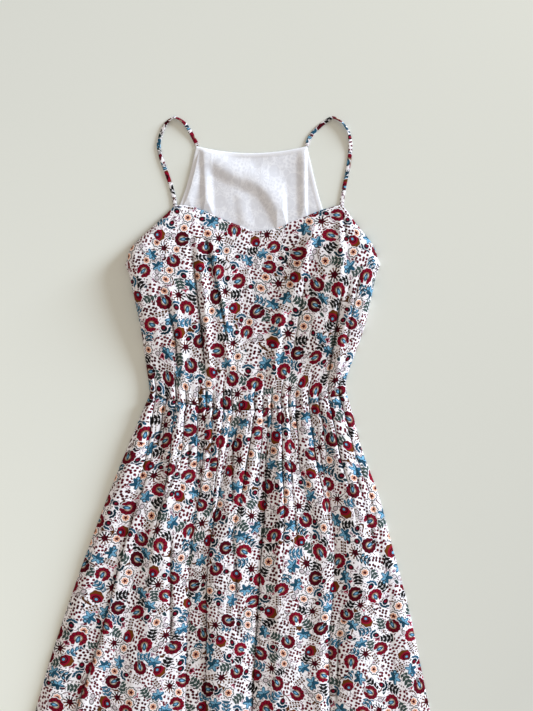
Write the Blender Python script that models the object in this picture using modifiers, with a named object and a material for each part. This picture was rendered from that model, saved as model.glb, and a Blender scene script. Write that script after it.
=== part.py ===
"""Strappy summer dress lying flat on its back: bodice front, bodice back with its lining,
gathered skirt front and back, and two shoulder straps. Metres, +Z up, neck towards +Y.
Tables and sizes are in millimetres; x runs to the right and y up from the hip line."""

import math

import bpy
import numpy as np

MM = 0.001

# Cloth walls and the gap left at each seam
CLOTH_WALL = 1.5
LINING_WALL = 1.0
SEAM_GAP = 0.3
LINING_INSET_LOW = 5.0
LINING_INSET_TOP = 1.0
SIDE_DROP = 0.8

# Waist seam: its height at the side seams, and how far its middle hangs below them
WAIST_Y = 106.5
WAIST_BOW = 30.0
HEM_BOW = 20.0
SKIRT_DEPTH = 666.0

# Side seams of the skirt
SKIRT_SIDES = [
    # below_waist, left_x, right_x
    (0.0, -134.4, 198.0),
    (52.0, -156.3, 213.0),
    (80.0, -167.9, 219.5),
    (167.0, -203.0, 250.5),
    (266.0, -240.4, 277.1),
    (366.0, -275.7, 303.6),
    (466.0, -308.0, 324.1),
    (566.0, -336.2, 345.2),
    (666.0, -365.9, 365.9),
]

# Side seams and armholes of the bodice front
FRONT_SIDES = [
    # above_waist, left_x, right_x
    (0.0, -134.4, 198.0),
    (15.0, -136.0, 196.2),
    (60.0, -142.2, 209.0),
    (110.0, -149.6, 227.0),
    (160.0, -160.0, 238.6),
    (200.0, -168.5, 247.0),
    (228.0, -171.2, 249.4),
    (242.0, -168.6, 246.6),
    (256.0, -156.8, 238.5),
    (280.0, -131.2, 219.5),
    (300.0, -110.6, 204.6),
    (312.0, -98.0, 195.6),
    (319.0, -91.5, 189.0),
]

# Side seams and armholes of the bodice back, which reach up to the strap ends
BACK_SIDES = [
    # above_waist, left_x, right_x
    (0.0, -134.4, 198.0),
    (15.0, -136.0, 196.2),
    (60.0, -142.2, 209.0),
    (110.0, -149.6, 227.0),
    (160.0, -160.0, 238.6),
    (200.0, -168.5, 247.0),
    (228.0, -171.2, 249.4),
    (240.0, -150.0, 227.0),
    (256.0, -124.0, 197.0),
    (280.0, -100.0, 168.0),
    (300.0, -90.0, 160.0),
    (322.0, -82.5, 153.8),
    (343.0, -74.5, 148.0),
    (378.0, -64.7, 139.2),
    (418.0, -56.0, 130.5),
]

# Front neckline, as a drop below the two strap points
NECKLINE = [
    # x, drop
    (-91.5, 0.0),
    (-66.0, 2.3),
    (-45.0, 9.3),
    (-24.0, 19.0),
    (4.0, 30.4),
    (25.0, 38.7),
    (35.0, 43.4),
    (46.0, 44.9),
    (68.0, 42.0),
    (89.0, 36.0),
    (104.0, 29.0),
    (125.0, 21.0),
    (145.0, 12.8),
    (166.0, 5.5),
    (189.0, 0.0),
]
BACK_NECK_BOW = 16.0
ARMHOLE_RAISE = 1.2

# Gathers along the waist seam
GATHERS = 21
GATHER_HEIGHT = 3.6
GATHER_REACH = 95.0
GATHER_SPREAD = 55.0
BODICE_GATHER_REACH = 30.0
BACK_GATHER_HEIGHT = 1.8
BACK_GATHER_REACH = 80.0
COLUMNS_PER_GATHER = 4

# How high the front cloth stands between its folds
SKIRT_LIFT = [
    # below_waist, lift
    (0.0, 5.4),
    (100.0, 5.2),
    (266.0, 4.6),
    (666.0, 4.0),
]
SIDE_ROLL = 15.0
ROLL_POWER = 2.2

# Large folds of the skirt front: where each crest lies across the skirt, 0 at the left seam
# and 1 at the right one, on six levels down from the waist seam
FOLD_LEVELS = (0.0, 100.0, 233.0, 400.0, 533.0, 666.0)
FOLD_CRESTS = [
    # fold, crest on each level
    ("left_edge", 0.030, 0.022, 0.020, 0.028, 0.026, 0.026),
    ("left_outer", 0.065, 0.105, 0.123, 0.116, 0.088, 0.080),
    ("left_pleat", 0.160, 0.155, 0.150, 0.148, 0.152, 0.156),
    ("left_inner", 0.190, 0.218, 0.212, 0.255, 0.270, 0.275),
    ("left_short", 0.280, 0.300, 0.305, 0.336, 0.380, 0.395),
    ("middle_left", 0.430, 0.445, 0.441, 0.456, 0.463, 0.465),
    ("middle_short", 0.520, 0.530, 0.523, 0.512, 0.503, 0.500),
    ("middle_right", 0.670, 0.642, 0.622, 0.618, 0.596, 0.582),
    ("right_short", 0.725, 0.710, 0.700, 0.675, 0.662, 0.660),
    ("right_inner", 0.785, 0.785, 0.795, 0.745, 0.712, 0.700),
    ("right_outer", 0.905, 0.900, 0.882, 0.850, 0.815, 0.800),
    ("right_edge", 0.972, 0.970, 0.958, 0.966, 0.970, 0.970),
]
FOLD_HEIGHTS = [
    # fold, height on each level, half widths to the left and right as shares of the skirt
    ("left_edge", 1.0, 2.5, 4.0, 4.0, 4.0, 4.0, 0.030, 0.034),
    ("left_outer", 2.0, 5.0, 7.0, 7.0, 7.5, 8.0, 0.046, 0.040),
    ("left_pleat", 0.0, 0.0, 0.5, 5.5, 8.0, 8.5, 0.034, 0.050),
    ("left_inner", 2.0, 5.5, 7.5, 8.5, 10.0, 11.0, 0.046, 0.058),
    ("left_short", 2.0, 6.0, 7.0, 6.0, 3.0, 2.0, 0.044, 0.050),
    ("middle_left", 2.0, 6.5, 9.5, 10.0, 10.0, 11.0, 0.052, 0.046),
    ("middle_short", 2.0, 5.5, 6.5, 4.0, 1.5, 1.0, 0.038, 0.040),
    ("middle_right", 2.0, 6.5, 10.5, 10.5, 10.5, 11.0, 0.042, 0.058),
    ("right_short", 1.0, 3.5, 4.5, 3.0, 2.0, 1.5, 0.036, 0.040),
    ("right_inner", 1.5, 3.5, 5.0, 5.5, 8.5, 9.5, 0.044, 0.040),
    ("right_outer", 3.0, 7.5, 9.5, 11.0, 12.0, 12.0, 0.060, 0.060),
    ("right_edge", 1.0, 3.0, 4.0, 4.0, 4.0, 4.0, 0.034, 0.028),
]

# Form of the bodice front: two soft bulges with a hollow between them
BULGE_ACROSS = [
    # share of the width, share of the height
    (0.00, 0.74),
    (0.04, 0.93),
    (0.10, 1.00),
    (0.20, 0.84),
    (0.35, 0.46),
    (0.50, 0.22),
    (0.64, 0.40),
    (0.78, 0.78),
    (0.87, 1.00),
    (0.95, 0.92),
    (1.00, 0.74),
]
BULGE_UP = [
    # share of the way up, height, lift of the hollow between the bulges
    (0.00, 1.0, 5.4),
    (0.12, 4.5, 6.0),
    (0.30, 10.0, 6.6),
    (0.50, 14.0, 7.0),
    (0.70, 14.5, 7.0),
    (0.85, 8.5, 6.2),
    (1.00, 0.5, 5.0),
]

# Soft folds of the bodice front
BODICE_FOLDS = [
    # fold, top_y, top_x, middle_x, low_y, low_x, half_width, height
    ("left_outer", 300.0, -100.6, -81.0, 106.0, -76.0, 14.0, 2.6),
    ("left_inner", 396.0, -57.0, -40.0, 112.0, -31.0, 14.0, 3.0),
    ("left_centre", 398.0, -34.0, -13.0, 118.0, 6.0, 14.0, 3.0),
    ("right_centre", 270.0, 93.0, 78.6, 100.0, 71.0, 15.0, 3.0),
    ("right_slant", 408.0, 148.0, 124.0, 252.0, 100.0, 19.0, 3.4),
    ("right_strap", 416.0, 186.0, 187.0, 252.0, 182.0, 13.0, 2.4),
    ("right_outer", 300.0, 217.0, 190.0, 104.0, 175.0, 18.0, 4.0),
]

# Shoulder straps, each from under the front corner, over its loop, to the back corner
STRAP_WIDTH = 6.0
STRAP_THICKNESS = 2.0
LEFT_STRAP = [
    # x, y, z, twist in degrees
    (-91.0, 418.5, 1.75, 0.0),
    (-93.0, 433.0, 1.40, 0.0),
    (-97.4, 453.0, 1.20, 0.0),
    (-107.0, 482.0, 1.20, 0.0),
    (-116.6, 509.5, 1.20, 8.0),
    (-119.6, 527.0, 1.40, 20.0),
    (-116.0, 544.0, 2.10, 45.0),
    (-106.5, 563.5, 2.90, 70.0),
    (-93.5, 573.0, 3.20, 78.0),
    (-80.0, 567.0, 3.00, 66.0),
    (-66.0, 549.0, 2.20, 40.0),
    (-58.5, 535.0, 1.50, 15.0),
    (-55.8, 525.6, 1.20, 0.0),
]
RIGHT_STRAP = [
    # x, y, z, twist in degrees
    (188.6, 418.5, 1.75, 0.0),
    (190.2, 433.0, 1.40, 0.0),
    (193.6, 455.0, 1.20, 0.0),
    (199.4, 484.0, 1.20, 0.0),
    (203.4, 511.0, 1.20, -8.0),
    (203.8, 533.0, 1.40, -20.0),
    (199.4, 551.5, 2.10, -45.0),
    (187.0, 567.0, 2.90, -70.0),
    (174.5, 572.8, 3.20, -78.0),
    (161.0, 565.5, 3.00, -66.0),
    (144.5, 551.0, 2.20, -40.0),
    (135.0, 539.0, 1.60, -15.0),
    (130.2, 525.4, 1.20, 0.0),
]
STRAP_STATIONS = 34

# Grid of each panel
SKIRT_ROWS = (0.0, 0.03, 0.07, 0.12, 0.18, 0.26, 0.36, 0.47, 0.59, 0.71, 0.83, 0.92, 1.0)
SKIRT_BACK_ROWS = (0.0, 0.04, 0.09, 0.16, 0.28, 0.52, 0.76, 1.0)
FRONT_ROWS = (0.0, 0.035, 0.08, 0.14, 0.22, 0.31, 0.40, 0.49, 0.58, 0.66, 0.73, 0.79, 0.85, 0.90, 0.95, 1.0)
BACK_ROWS = (0.0, 0.04, 0.09, 0.20, 0.36, 0.52, 0.62, 0.72, 0.82, 0.91, 1.0)
LINING_COLUMNS = 20

# Colours
PRINT_GROUND = (0.80, 0.72, 0.70, 1.0)
LINING_WHITE = (0.86, 0.86, 0.88, 1.0)
CLOTH_ROUGHNESS = 0.85


def smooth_between(where, stations, values):
    """Value at each place, on a smooth curve through the values at the stations."""
    stations = np.asarray(stations, float)
    values = np.asarray(values, float)
    slopes = np.gradient(values, stations)
    where = np.clip(where, stations[0], stations[-1])
    left = np.clip(np.searchsorted(stations, where, side="right") - 1, 0, len(stations) - 2)
    span = stations[left + 1] - stations[left]
    t = (where - stations[left]) / span
    from_left = values[left] * (1 + 2 * t) + slopes[left] * span * t
    from_right = values[left + 1] * (3 - 2 * t) - slopes[left + 1] * span * (1 - t)
    return from_left * (1 - t) ** 2 + from_right * t**2


def column(table, index):
    return [row[index] for row in table]


def hump(distance, half_left, half_right):
    """A rounded ridge of height 1: its distance runs to the right from the crest."""
    share = np.where(distance < 0, distance / half_left, distance / half_right)
    return 0.5 + 0.5 * np.cos(math.pi * np.clip(share, -1, 1))


def gather_phase(across):
    """Counts the gathers from the left seam, unevenly, as fingers would set them."""
    wander = 0.20 * np.sin(6.0 * math.pi * across) + 0.12 * np.sin(14.0 * math.pi * across)
    return GATHERS * across + wander


def gathers(across, along, height, reach, spread):
    """Small ridges that start at the waist seam and die out, each after its own length."""
    phase = gather_phase(across)
    own_reach = reach + spread * np.sin(2.3 * phase + 0.8)
    fade = np.exp(-((along / np.maximum(own_reach, 20.0)) ** 1.6))
    return height * fade * (0.5 - 0.5 * np.cos(2 * math.pi * phase))


def roll(across, width):
    """Share of the full height near a side edge, where the cloth turns under."""
    inward = np.minimum(across, 1 - across) * width
    left_over = 1 - np.clip(inward / SIDE_ROLL, 0, 1)
    return (1 - left_over**ROLL_POWER) ** (1 / ROLL_POWER)


def skirt_sides(down):
    depth = down * SKIRT_DEPTH
    left = smooth_between(depth, column(SKIRT_SIDES, 0), column(SKIRT_SIDES, 1))
    right = smooth_between(depth, column(SKIRT_SIDES, 0), column(SKIRT_SIDES, 2))
    return left, right


def follow_folds(cloth, down):
    """Where a lengthwise thread lies across the skirt: threads run along the fold crests."""
    depth = down * SKIRT_DEPTH
    start = np.array([0.0] + column(FOLD_CRESTS, 1) + [1.0])
    across = np.empty(cloth.shape)
    for row in range(len(cloth)):
        crests = [smooth_between(depth[row, :1], FOLD_LEVELS, crest[1:])[0] for crest in FOLD_CRESTS]
        across[row] = np.interp(cloth[row], start, [0.0] + crests + [1.0])
    return across


def skirt_plan(cloth, down):
    across = follow_folds(cloth, down)
    left, right = skirt_sides(down)
    bow = WAIST_BOW + (HEM_BOW - WAIST_BOW) * down
    x = left + (right - left) * across
    y = WAIST_Y - down * SKIRT_DEPTH - bow * (1 - (2 * across - 1) ** 2)
    return x, y - 0.65 * SEAM_GAP * (down == 0)


def skirt_folds(across, down):
    depth = down * SKIRT_DEPTH
    total = np.zeros(np.broadcast(across, down).shape)
    for crest, size in zip(FOLD_CRESTS, FOLD_HEIGHTS):
        centre = smooth_between(depth, FOLD_LEVELS, crest[1:])
        height = np.maximum(smooth_between(depth, FOLD_LEVELS, size[1:7]), 0)
        total = total + height * hump(across - centre, size[7], size[8])
    return total


def skirt_front_height(cloth, down):
    """Height of the outer face of the skirt front."""
    across = follow_folds(cloth, down)
    left, right = skirt_sides(down)
    depth = down * SKIRT_DEPTH
    lift = smooth_between(depth, column(SKIRT_LIFT, 0), column(SKIRT_LIFT, 1))
    small = gathers(cloth, depth, GATHER_HEIGHT, GATHER_REACH, GATHER_SPREAD)
    edge = CLOTH_WALL + SEAM_GAP + SIDE_DROP
    full = lift + skirt_folds(across, down) + small
    return edge + roll(across, right - left) * (full - edge)


def skirt_back_height(across, down):
    """Height of the underside of the skirt back, which lies on the ground."""
    depth = down * SKIRT_DEPTH
    lifted = gathers(across, depth, BACK_GATHER_HEIGHT, BACK_GATHER_REACH, 0.0)
    lifted = np.where(depth > 2.2 * BACK_GATHER_REACH, 0.0, lifted)
    return lifted * np.clip(np.minimum(across, 1 - across) * 25 - 0.6, 0, 1)


def bodice_plan(across, up, sides, top_x, top_y):
    """Spreads a grid between the waist seam, two sides and the top edge."""
    rise = column(sides, 0)
    left_x, right_x = column(sides, 1), column(sides, 2)
    steps = np.hypot(np.diff(left_x), np.diff(rise)) + np.hypot(np.diff(right_x), np.diff(rise))
    way = np.concatenate([[0], np.cumsum(steps)]) / np.sum(steps)
    height = smooth_between(up, way, rise)
    left = smooth_between(height, rise, left_x)
    right = smooth_between(height, rise, right_x)
    side_y = WAIST_Y + height
    waist_x = left_x[0] + (right_x[0] - left_x[0]) * across
    waist_y = WAIST_Y - WAIST_BOW * (1 - (2 * across - 1) ** 2)
    straight_x = (1 - up) * waist_x[..., :] + up * top_x
    corner_x = (1 - up) * waist_x + up * (left_x[-1] + (right_x[-1] - left_x[-1]) * across)
    x = straight_x + left + (right - left) * across - corner_x
    top = WAIST_Y + rise[-1]
    y = (1 - up) * waist_y + up * top_y + side_y - ((1 - up) * WAIST_Y + up * top)
    return x, y + 0.65 * SEAM_GAP * (up == 0)


def front_plan(across, up):
    neck_x, drop = column(NECKLINE, 0), column(NECKLINE, 1)
    reach = np.concatenate([[0], np.cumsum(np.hypot(np.diff(neck_x), np.diff(drop)))])
    share = reach / reach[-1]
    top_x = smooth_between(across, share, neck_x)
    top_y = WAIST_Y + FRONT_SIDES[-1][0] - smooth_between(across, share, drop)
    return bodice_plan(across, up, FRONT_SIDES, top_x, top_y)


def back_plan(across, up):
    top_x = BACK_SIDES[-1][1] + (BACK_SIDES[-1][2] - BACK_SIDES[-1][1]) * across
    top_y = WAIST_Y + BACK_SIDES[-1][0] - BACK_NECK_BOW * (1 - (2 * across - 1) ** 2)
    return bodice_plan(across, up, BACK_SIDES, top_x, top_y)


def bodice_folds(x, y):
    total = np.zeros(x.shape)
    for name, top_y, top_x, middle_x, low_y, low_x, half_width, height in BODICE_FOLDS:
        middle_y = 0.5 * (top_y + low_y)
        centre = smooth_between(y, (low_y, middle_y, top_y), (low_x, middle_x, top_x))
        length = top_y - low_y
        ends = np.clip(np.minimum(y - low_y, top_y - y) / (0.22 * length), 0, 1)
        total = total + height * ends * ends * (3 - 2 * ends) * hump(x - centre, half_width, half_width)
    return total


def front_height(across, up):
    """Height of the outer face of the bodice front."""
    x, y = front_plan(across, up)
    bulge = smooth_between(up, column(BULGE_UP, 0), column(BULGE_UP, 1))
    hollow = smooth_between(up, column(BULGE_UP, 0), column(BULGE_UP, 2))
    form = smooth_between(across, column(BULGE_ACROSS, 0), column(BULGE_ACROSS, 1))
    above = np.maximum(y - (WAIST_Y - WAIST_BOW * (1 - (2 * across - 1) ** 2)), 0)
    small = gathers(across, above, GATHER_HEIGHT, BODICE_GATHER_REACH, 12.0)
    armhole = np.clip((y - (WAIST_Y + 228)) / 25, 0, 1)
    edge = CLOTH_WALL + SEAM_GAP + SIDE_DROP + ARMHOLE_RAISE * armhole
    full = hollow + bulge * form + bodice_folds(x, y) + small
    width = x[:, -1:] - x[:, :1]
    return edge + roll(across, width) * np.maximum(full - edge, 0)


def back_height(across, up):
    """Height of the underside of the bodice back."""
    x, y = back_plan(across, up)
    above = np.maximum(y - (WAIST_Y - WAIST_BOW * (1 - (2 * across - 1) ** 2)), 0)
    lifted = gathers(across, above, BACK_GATHER_HEIGHT, BODICE_GATHER_REACH, 0.0)
    lifted = np.where(above > 2.2 * BODICE_GATHER_REACH, 0.0, lifted)
    return lifted * np.clip(np.minimum(across, 1 - across) * 25 - 0.6, 0, 1)


def gather_columns(per_gather):
    """Places across a panel that meet every crest and every hollow of the gathers."""
    fine = np.linspace(0, 1, 4001)
    count = GATHERS * per_gather
    phases = np.linspace(gather_phase(0.0), gather_phase(1.0), count + 1)
    return np.interp(phases, gather_phase(fine), fine)


def surface_grid(plan, height, columns, rows):
    across, along = np.meshgrid(np.asarray(columns), np.asarray(rows))
    x, y = plan(across, along)
    return np.stack([x, y, height(across, along)], axis=-1)


def edge_tight_columns(columns):
    """Adds places close to both edges, where the cloth turns under."""
    close = np.array([0.0, 0.003, 0.010, 0.022])
    inner = columns[(columns > 0.032) & (columns < 0.968)]
    return np.concatenate([close, inner, 1 - close[::-1]])


def turned_sides(grid):
    """Adds a short upright strip of cloth down each side edge."""
    left, right = grid[:, :1].copy(), grid[:, -1:].copy()
    left[..., 2] -= SIDE_DROP
    right[..., 2] -= SIDE_DROP
    return np.concatenate([left, grid, right], axis=1)


def cloth_material(name, colour):
    material = bpy.data.materials.new(name)
    material.use_nodes = True
    shader = material.node_tree.nodes["Principled BSDF"]
    shader.inputs["Base Color"].default_value = colour
    shader.inputs["Roughness"].default_value = CLOTH_ROUGHNESS
    shader.inputs["Metallic"].default_value = 0.0
    material.diffuse_color = colour
    return material


def panel(name, grid, wall, wall_side, material, collection):
    """A cloth panel: an open surface of four-sided faces, given its wall by a Solidify."""
    row_count, column_count = grid.shape[:2]
    faces = []
    for row in range(row_count - 1):
        for place in range(column_count - 1):
            first = row * column_count + place
            faces.append((first, first + 1, first + column_count + 1, first + column_count))
    mesh = bpy.data.meshes.new(name)
    mesh.from_pydata((grid.reshape(-1, 3) * MM).tolist(), [], faces)
    if mesh.polygons[0].normal.z < 0:
        mesh.flip_normals()
    mesh.materials.append(material)
    mesh.update()
    obj = bpy.data.objects.new(name, mesh)
    collection.objects.link(obj)
    solidify = obj.modifiers.new("wall", "SOLIDIFY")
    solidify.thickness = wall * MM
    solidify.offset = wall_side
    solidify.use_even_offset = False
    return obj


def strap(name, stations, material, collection):
    """A flat tube swept through the stations, turned by their twist."""
    mesh = bpy.data.meshes.new(name)
    places = np.linspace(0, 1, STRAP_STATIONS)
    legs = np.hypot(np.diff(column(stations, 0)), np.diff(column(stations, 1)))
    way = np.concatenate([[0], np.cumsum(legs)]) / np.sum(legs)
    x, y, z, twist = (smooth_between(places, way, column(stations, i)) for i in range(4))
    ahead_x, ahead_y = np.gradient(x), np.gradient(y)
    length = np.hypot(ahead_x, ahead_y)
    side = np.stack([ahead_y / length, -ahead_x / length, np.zeros_like(x)], axis=1)
    up = np.array([0.0, 0.0, 1.0])
    turn = np.radians(twist)[:, None]
    half, thin = 0.5 * STRAP_WIDTH, 0.5 * STRAP_THICKNESS
    stands = half * np.abs(np.sin(turn[:, 0])) + thin * np.cos(turn[:, 0])
    z = np.maximum(z, stands)
    across = side * np.cos(turn) + up * np.sin(turn)
    out = up * np.cos(turn) - side * np.sin(turn)
    section = [(half, 0), (half - 0.6, thin), (-half + 0.6, thin), (-half, 0), (-half + 0.6, -thin), (half - 0.6, -thin)]
    centres = np.stack([x, y, z], axis=1)
    rings = [centres + across * a + out * b for a, b in section]
    points = np.stack(rings, axis=1).reshape(-1, 3)
    count = len(section)
    faces = [tuple(range(count))]
    for ring in range(STRAP_STATIONS - 1):
        for corner in range(count):
            after = (corner + 1) % count
            start, end = ring * count, (ring + 1) * count
            faces.append((start + corner, end + corner, end + after, start + after))
    faces.append(tuple(range((STRAP_STATIONS - 1) * count, STRAP_STATIONS * count))[::-1])
    mesh.from_pydata((points * MM).tolist(), [], faces)
    mesh.materials.append(material)
    mesh.update()
    obj = bpy.data.objects.new(name, mesh)
    collection.objects.link(obj)
    return obj


def inset_lining(grid):
    """The lining's underside: the back's grid drawn in from its edges and moved up."""
    centre_x = 0.5 * (grid[:, :1, 0] + grid[:, -1:, 0])
    half = 0.5 * (grid[:, -1:, 0] - grid[:, :1, 0])
    rise = grid[:, :1, 1] - WAIST_Y
    bare = np.clip((rise - 240.0) / 30.0, 0, 1)
    inset = LINING_INSET_LOW + (LINING_INSET_TOP - LINING_INSET_LOW) * bare
    lining = grid.copy()
    lining[..., 0] = centre_x + (grid[..., 0] - centre_x) * (half - inset) / half
    lining[-1, :, 1] -= LINING_INSET_TOP
    lining[..., 2] += CLOTH_WALL + SEAM_GAP
    return lining


def centre_on_origin(objects):
    """Moves all pieces so that the middle of the dress, seen from above, is the origin."""
    bpy.context.view_layer.update()
    graph = bpy.context.evaluated_depsgraph_get()
    corners = [corner for obj in objects for corner in obj.evaluated_get(graph).bound_box]
    low, high = np.min(corners, axis=0), np.max(corners, axis=0)
    for obj in objects:
        obj.location = (-0.5 * (low[0] + high[0]), -0.5 * (low[1] + high[1]), -low[2])


def build():
    for obj in list(bpy.data.objects):
        bpy.data.objects.remove(obj)
    collection = bpy.data.collections.new("sundress")
    bpy.context.scene.collection.children.link(collection)
    columns = edge_tight_columns(gather_columns(COLUMNS_PER_GATHER))
    wide_columns = gather_columns(2)
    skirt_front = turned_sides(surface_grid(skirt_plan, skirt_front_height, columns, SKIRT_ROWS))
    skirt_back = surface_grid(skirt_plan, skirt_back_height, wide_columns, SKIRT_BACK_ROWS)
    bodice_columns = edge_tight_columns(gather_columns(3))
    bodice_front = turned_sides(surface_grid(front_plan, front_height, bodice_columns, FRONT_ROWS))
    bodice_back = surface_grid(back_plan, back_height, wide_columns, BACK_ROWS)
    lining = inset_lining(bodice_back[3:])
    pieces = [
        panel("skirt_back", skirt_back, CLOTH_WALL, 1.0, cloth_material("skirt_back_print", PRINT_GROUND), collection),
        panel("skirt_front", skirt_front, CLOTH_WALL, -1.0, cloth_material("skirt_front_print", PRINT_GROUND), collection),
        panel("bodice_back", bodice_back, CLOTH_WALL, 1.0, cloth_material("bodice_back_print", PRINT_GROUND), collection),
        panel("back_lining", lining, LINING_WALL, 1.0, cloth_material("back_lining_white", LINING_WHITE), collection),
        panel("bodice_front", bodice_front, CLOTH_WALL, -1.0, cloth_material("bodice_front_print", PRINT_GROUND), collection),
        strap("strap_left", LEFT_STRAP, cloth_material("strap_left_print", PRINT_GROUND), collection),
        strap("strap_right", RIGHT_STRAP, cloth_material("strap_right_print", PRINT_GROUND), collection),
    ]
    centre_on_origin(pieces)


build()
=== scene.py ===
"""A strappy summer dress laid flat on its back, seen from straight above."""

import math

import bpy
import numpy as np
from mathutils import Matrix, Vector


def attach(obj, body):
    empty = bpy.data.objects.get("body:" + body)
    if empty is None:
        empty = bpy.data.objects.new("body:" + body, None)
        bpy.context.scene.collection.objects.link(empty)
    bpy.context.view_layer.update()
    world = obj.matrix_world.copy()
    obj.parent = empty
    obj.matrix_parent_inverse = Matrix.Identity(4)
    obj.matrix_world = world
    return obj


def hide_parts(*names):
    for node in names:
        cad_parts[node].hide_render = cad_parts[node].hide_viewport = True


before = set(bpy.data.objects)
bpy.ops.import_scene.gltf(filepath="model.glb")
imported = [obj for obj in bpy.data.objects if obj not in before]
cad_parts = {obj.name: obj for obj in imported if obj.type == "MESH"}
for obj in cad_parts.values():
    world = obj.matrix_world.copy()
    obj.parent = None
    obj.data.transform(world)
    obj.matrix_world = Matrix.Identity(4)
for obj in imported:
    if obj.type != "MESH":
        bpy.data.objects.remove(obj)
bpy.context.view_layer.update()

MM = 0.001

# Where the middle of the cut lies in the frame, millimetres
CUT_PLACE = (-0.016, 2.515, 0.0)

# Cloth and seams, millimetres
SHELL = 0.7
LINING_SHELL = 0.5
FRONT_EDGE_Z = 0.9
EDGE_TURN = 0.9
WAIST_TURN = 1.4
HEM_TURN = 0.8
SEAM_UNDERLAP = 2.5
SETTLED_CLEARANCE = 0.05

# Waist seam and hem
WAIST_Y = 106.5
WAIST_BOW = 30.0
HEM_BOW = 20.0
SKIRT_DEPTH = 666.0

SKIRT_SIDES = [
    # below_waist, left_x, right_x
    (0.0, -134.4, 198.0),
    (52.0, -156.3, 213.0),
    (80.0, -167.9, 219.5),
    (167.0, -203.0, 250.5),
    (266.0, -240.4, 277.1),
    (366.0, -275.7, 303.6),
    (466.0, -308.0, 324.1),
    (566.0, -336.2, 345.2),
    (666.0, -365.9, 365.9),
]
SIDE_SEAM = [
    # above_waist, left_x, right_x
    (0.0, -134.4, 198.0),
    (15.0, -136.0, 196.2),
    (60.0, -142.2, 209.0),
    (110.0, -149.6, 227.0),
    (160.0, -160.0, 238.6),
    (200.0, -168.5, 247.0),
    (228.0, -171.2, 249.4),
]
FRONT_SIDES = SIDE_SEAM + [
    (242.0, -168.6, 246.6),
    (256.0, -156.8, 238.5),
    (280.0, -131.2, 219.5),
    (300.0, -110.6, 204.6),
    (312.0, -98.0, 195.6),
    (319.0, -91.5, 189.0),
]
BACK_SIDES = SIDE_SEAM + [
    (240.0, -150.0, 227.0),
    (256.0, -124.0, 197.0),
    (280.0, -100.0, 168.0),
    (300.0, -90.0, 160.0),
    (322.0, -82.5, 153.8),
    (343.0, -74.5, 148.0),
    (378.0, -64.7, 139.2),
    (418.0, -56.0, 130.5),
]
NECKLINE = [
    # x, drop
    (-91.5, 0.0),
    (-66.0, 2.3),
    (-45.0, 9.3),
    (-24.0, 19.0),
    (4.0, 30.4),
    (25.0, 38.7),
    (35.0, 43.4),
    (46.0, 44.9),
    (68.0, 42.0),
    (89.0, 36.0),
    (104.0, 29.0),
    (125.0, 21.0),
    (145.0, 12.8),
    (166.0, 5.5),
    (189.0, 0.0),
]
BACK_NECK_BOW = 12.0

# The armholes' edges stand a little higher than the side seams
ARMHOLE_START = 228.0
ARMHOLE_SPAN = 25.0
ARMHOLE_LIFT = 2.0

# The lining and its turned and stitched band
LINING_Z = 2.0
LINING_INSET = 5.0
LINING_BARE_FROM = 240.0
LINING_BARE_SPAN = 30.0
LINING_OVERLAP = 0.5
UNDER_FRONT = 0.8
UNDER_FRONT_SLOPE = 0.15
GHOST_WEIGHT = 0.2
BAND_WIDTH = 7.0
BAND_HEIGHT = 0.45
BAND_GROOVE = 0.35
BAND_SOFTNESS = 1.2

# Gathers along the waist seam
GATHERS = 21
GATHER_STEP = 15.8
GATHER_HEIGHT = 6.8
GATHER_REACH = 105.0
GATHER_SPREAD = 60.0
GATHER_SHORTEST = 20.0
GATHER_FADE = 1.6
GATHER_CREST = 0.58
GATHER_POWER = 0.5
SLIT_DEPTH = 4.6
BODICE_GATHER_HEIGHT = 3.6
BODICE_GATHER_REACH = 28.0
BODICE_GATHER_SPREAD = 12.0
BACK_GATHER_HEIGHT = 1.6
BACK_GATHER_END = 2.2
SKIRT_BACK_REACH = 80.0
BODICE_BACK_REACH = 30.0

# Sizes and rates of the waves that make the gathers uneven
GATHER_WANDER = ((0.20, 6.0 * math.pi), (0.12, 14.0 * math.pi))

# Rate and start of the waves over a gather's number that give it its own length and height
GATHER_LENGTH_WAVE = (2.3, 0.8)
GATHER_HEIGHT_WAVE = (1.7, 2.0)
GATHER_HEIGHT_SPREAD = 0.3

# How steeply the gathers rise from a side seam, and from what share of the width they start
FRONT_SIDE_RISE = 20
BACK_SIDE_RISE = 25
BACK_SIDE_START = 0.024

# Ridges that lean over the slit or crease on their left
GATHER_TUCK = 3.2
GATHER_TUCK_REACH = 2.2
GATHER_TUCK_FADE = 90.0
FOLD_TUCK = 6.0
FOLD_TUCK_REACH = 4.5
FOLD_TUCK_FROM = 36.0
FOLD_TUCK_SPAN = 120.0

# Puckers and the dip beside the waist seam
PUCKERS = 52
PUCKER_WANDER = ((0.35, 31.0), (0.25, 83.0))
PUCKER_HEIGHT = 3.4
PUCKER_LEAST = 0.6
PUCKER_SPREAD = 0.4
PUCKER_HEIGHT_RATE = 1.9
PUCKER_REACH = 13.0
PUCKER_REACH_SPREAD = 0.5
PUCKER_REACH_RATE = 2.7
SEAM_DIP = 4.2
SEAM_DIP_REACH = 3.6

# Folds and creases: their fades are shares of their length at each end
FOLD_RISE = 1.15
FOLD_FADE = 0.22
CREASE_DEEPENING = 2.2
CREASE_POWER = 0.5
CREASE_FADE = 0.3
LEAST_FRONT_RISE = 0.9

# Layers of slight crumple: size, width, length, seed
SKIRT_CRUMPLE = ((0.6, 9.0, 120.0, 11), (0.6, 26.0, 60.0, 12))
BODICE_CRUMPLE = ((0.6, 8.0, 70.0, 21), (0.7, 24.0, 40.0, 22))
LINING_CRUMPLE = ((0.5, 24.0, 36.0, 31),)

# The crumple grows over this distance from the waist seam, and dies over this share below the neckline
SKIRT_CRUMPLE_SPAN = 60.0
BODICE_CRUMPLE_SPAN = 40.0
NECK_CRUMPLE_SPAN = 0.06

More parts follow.
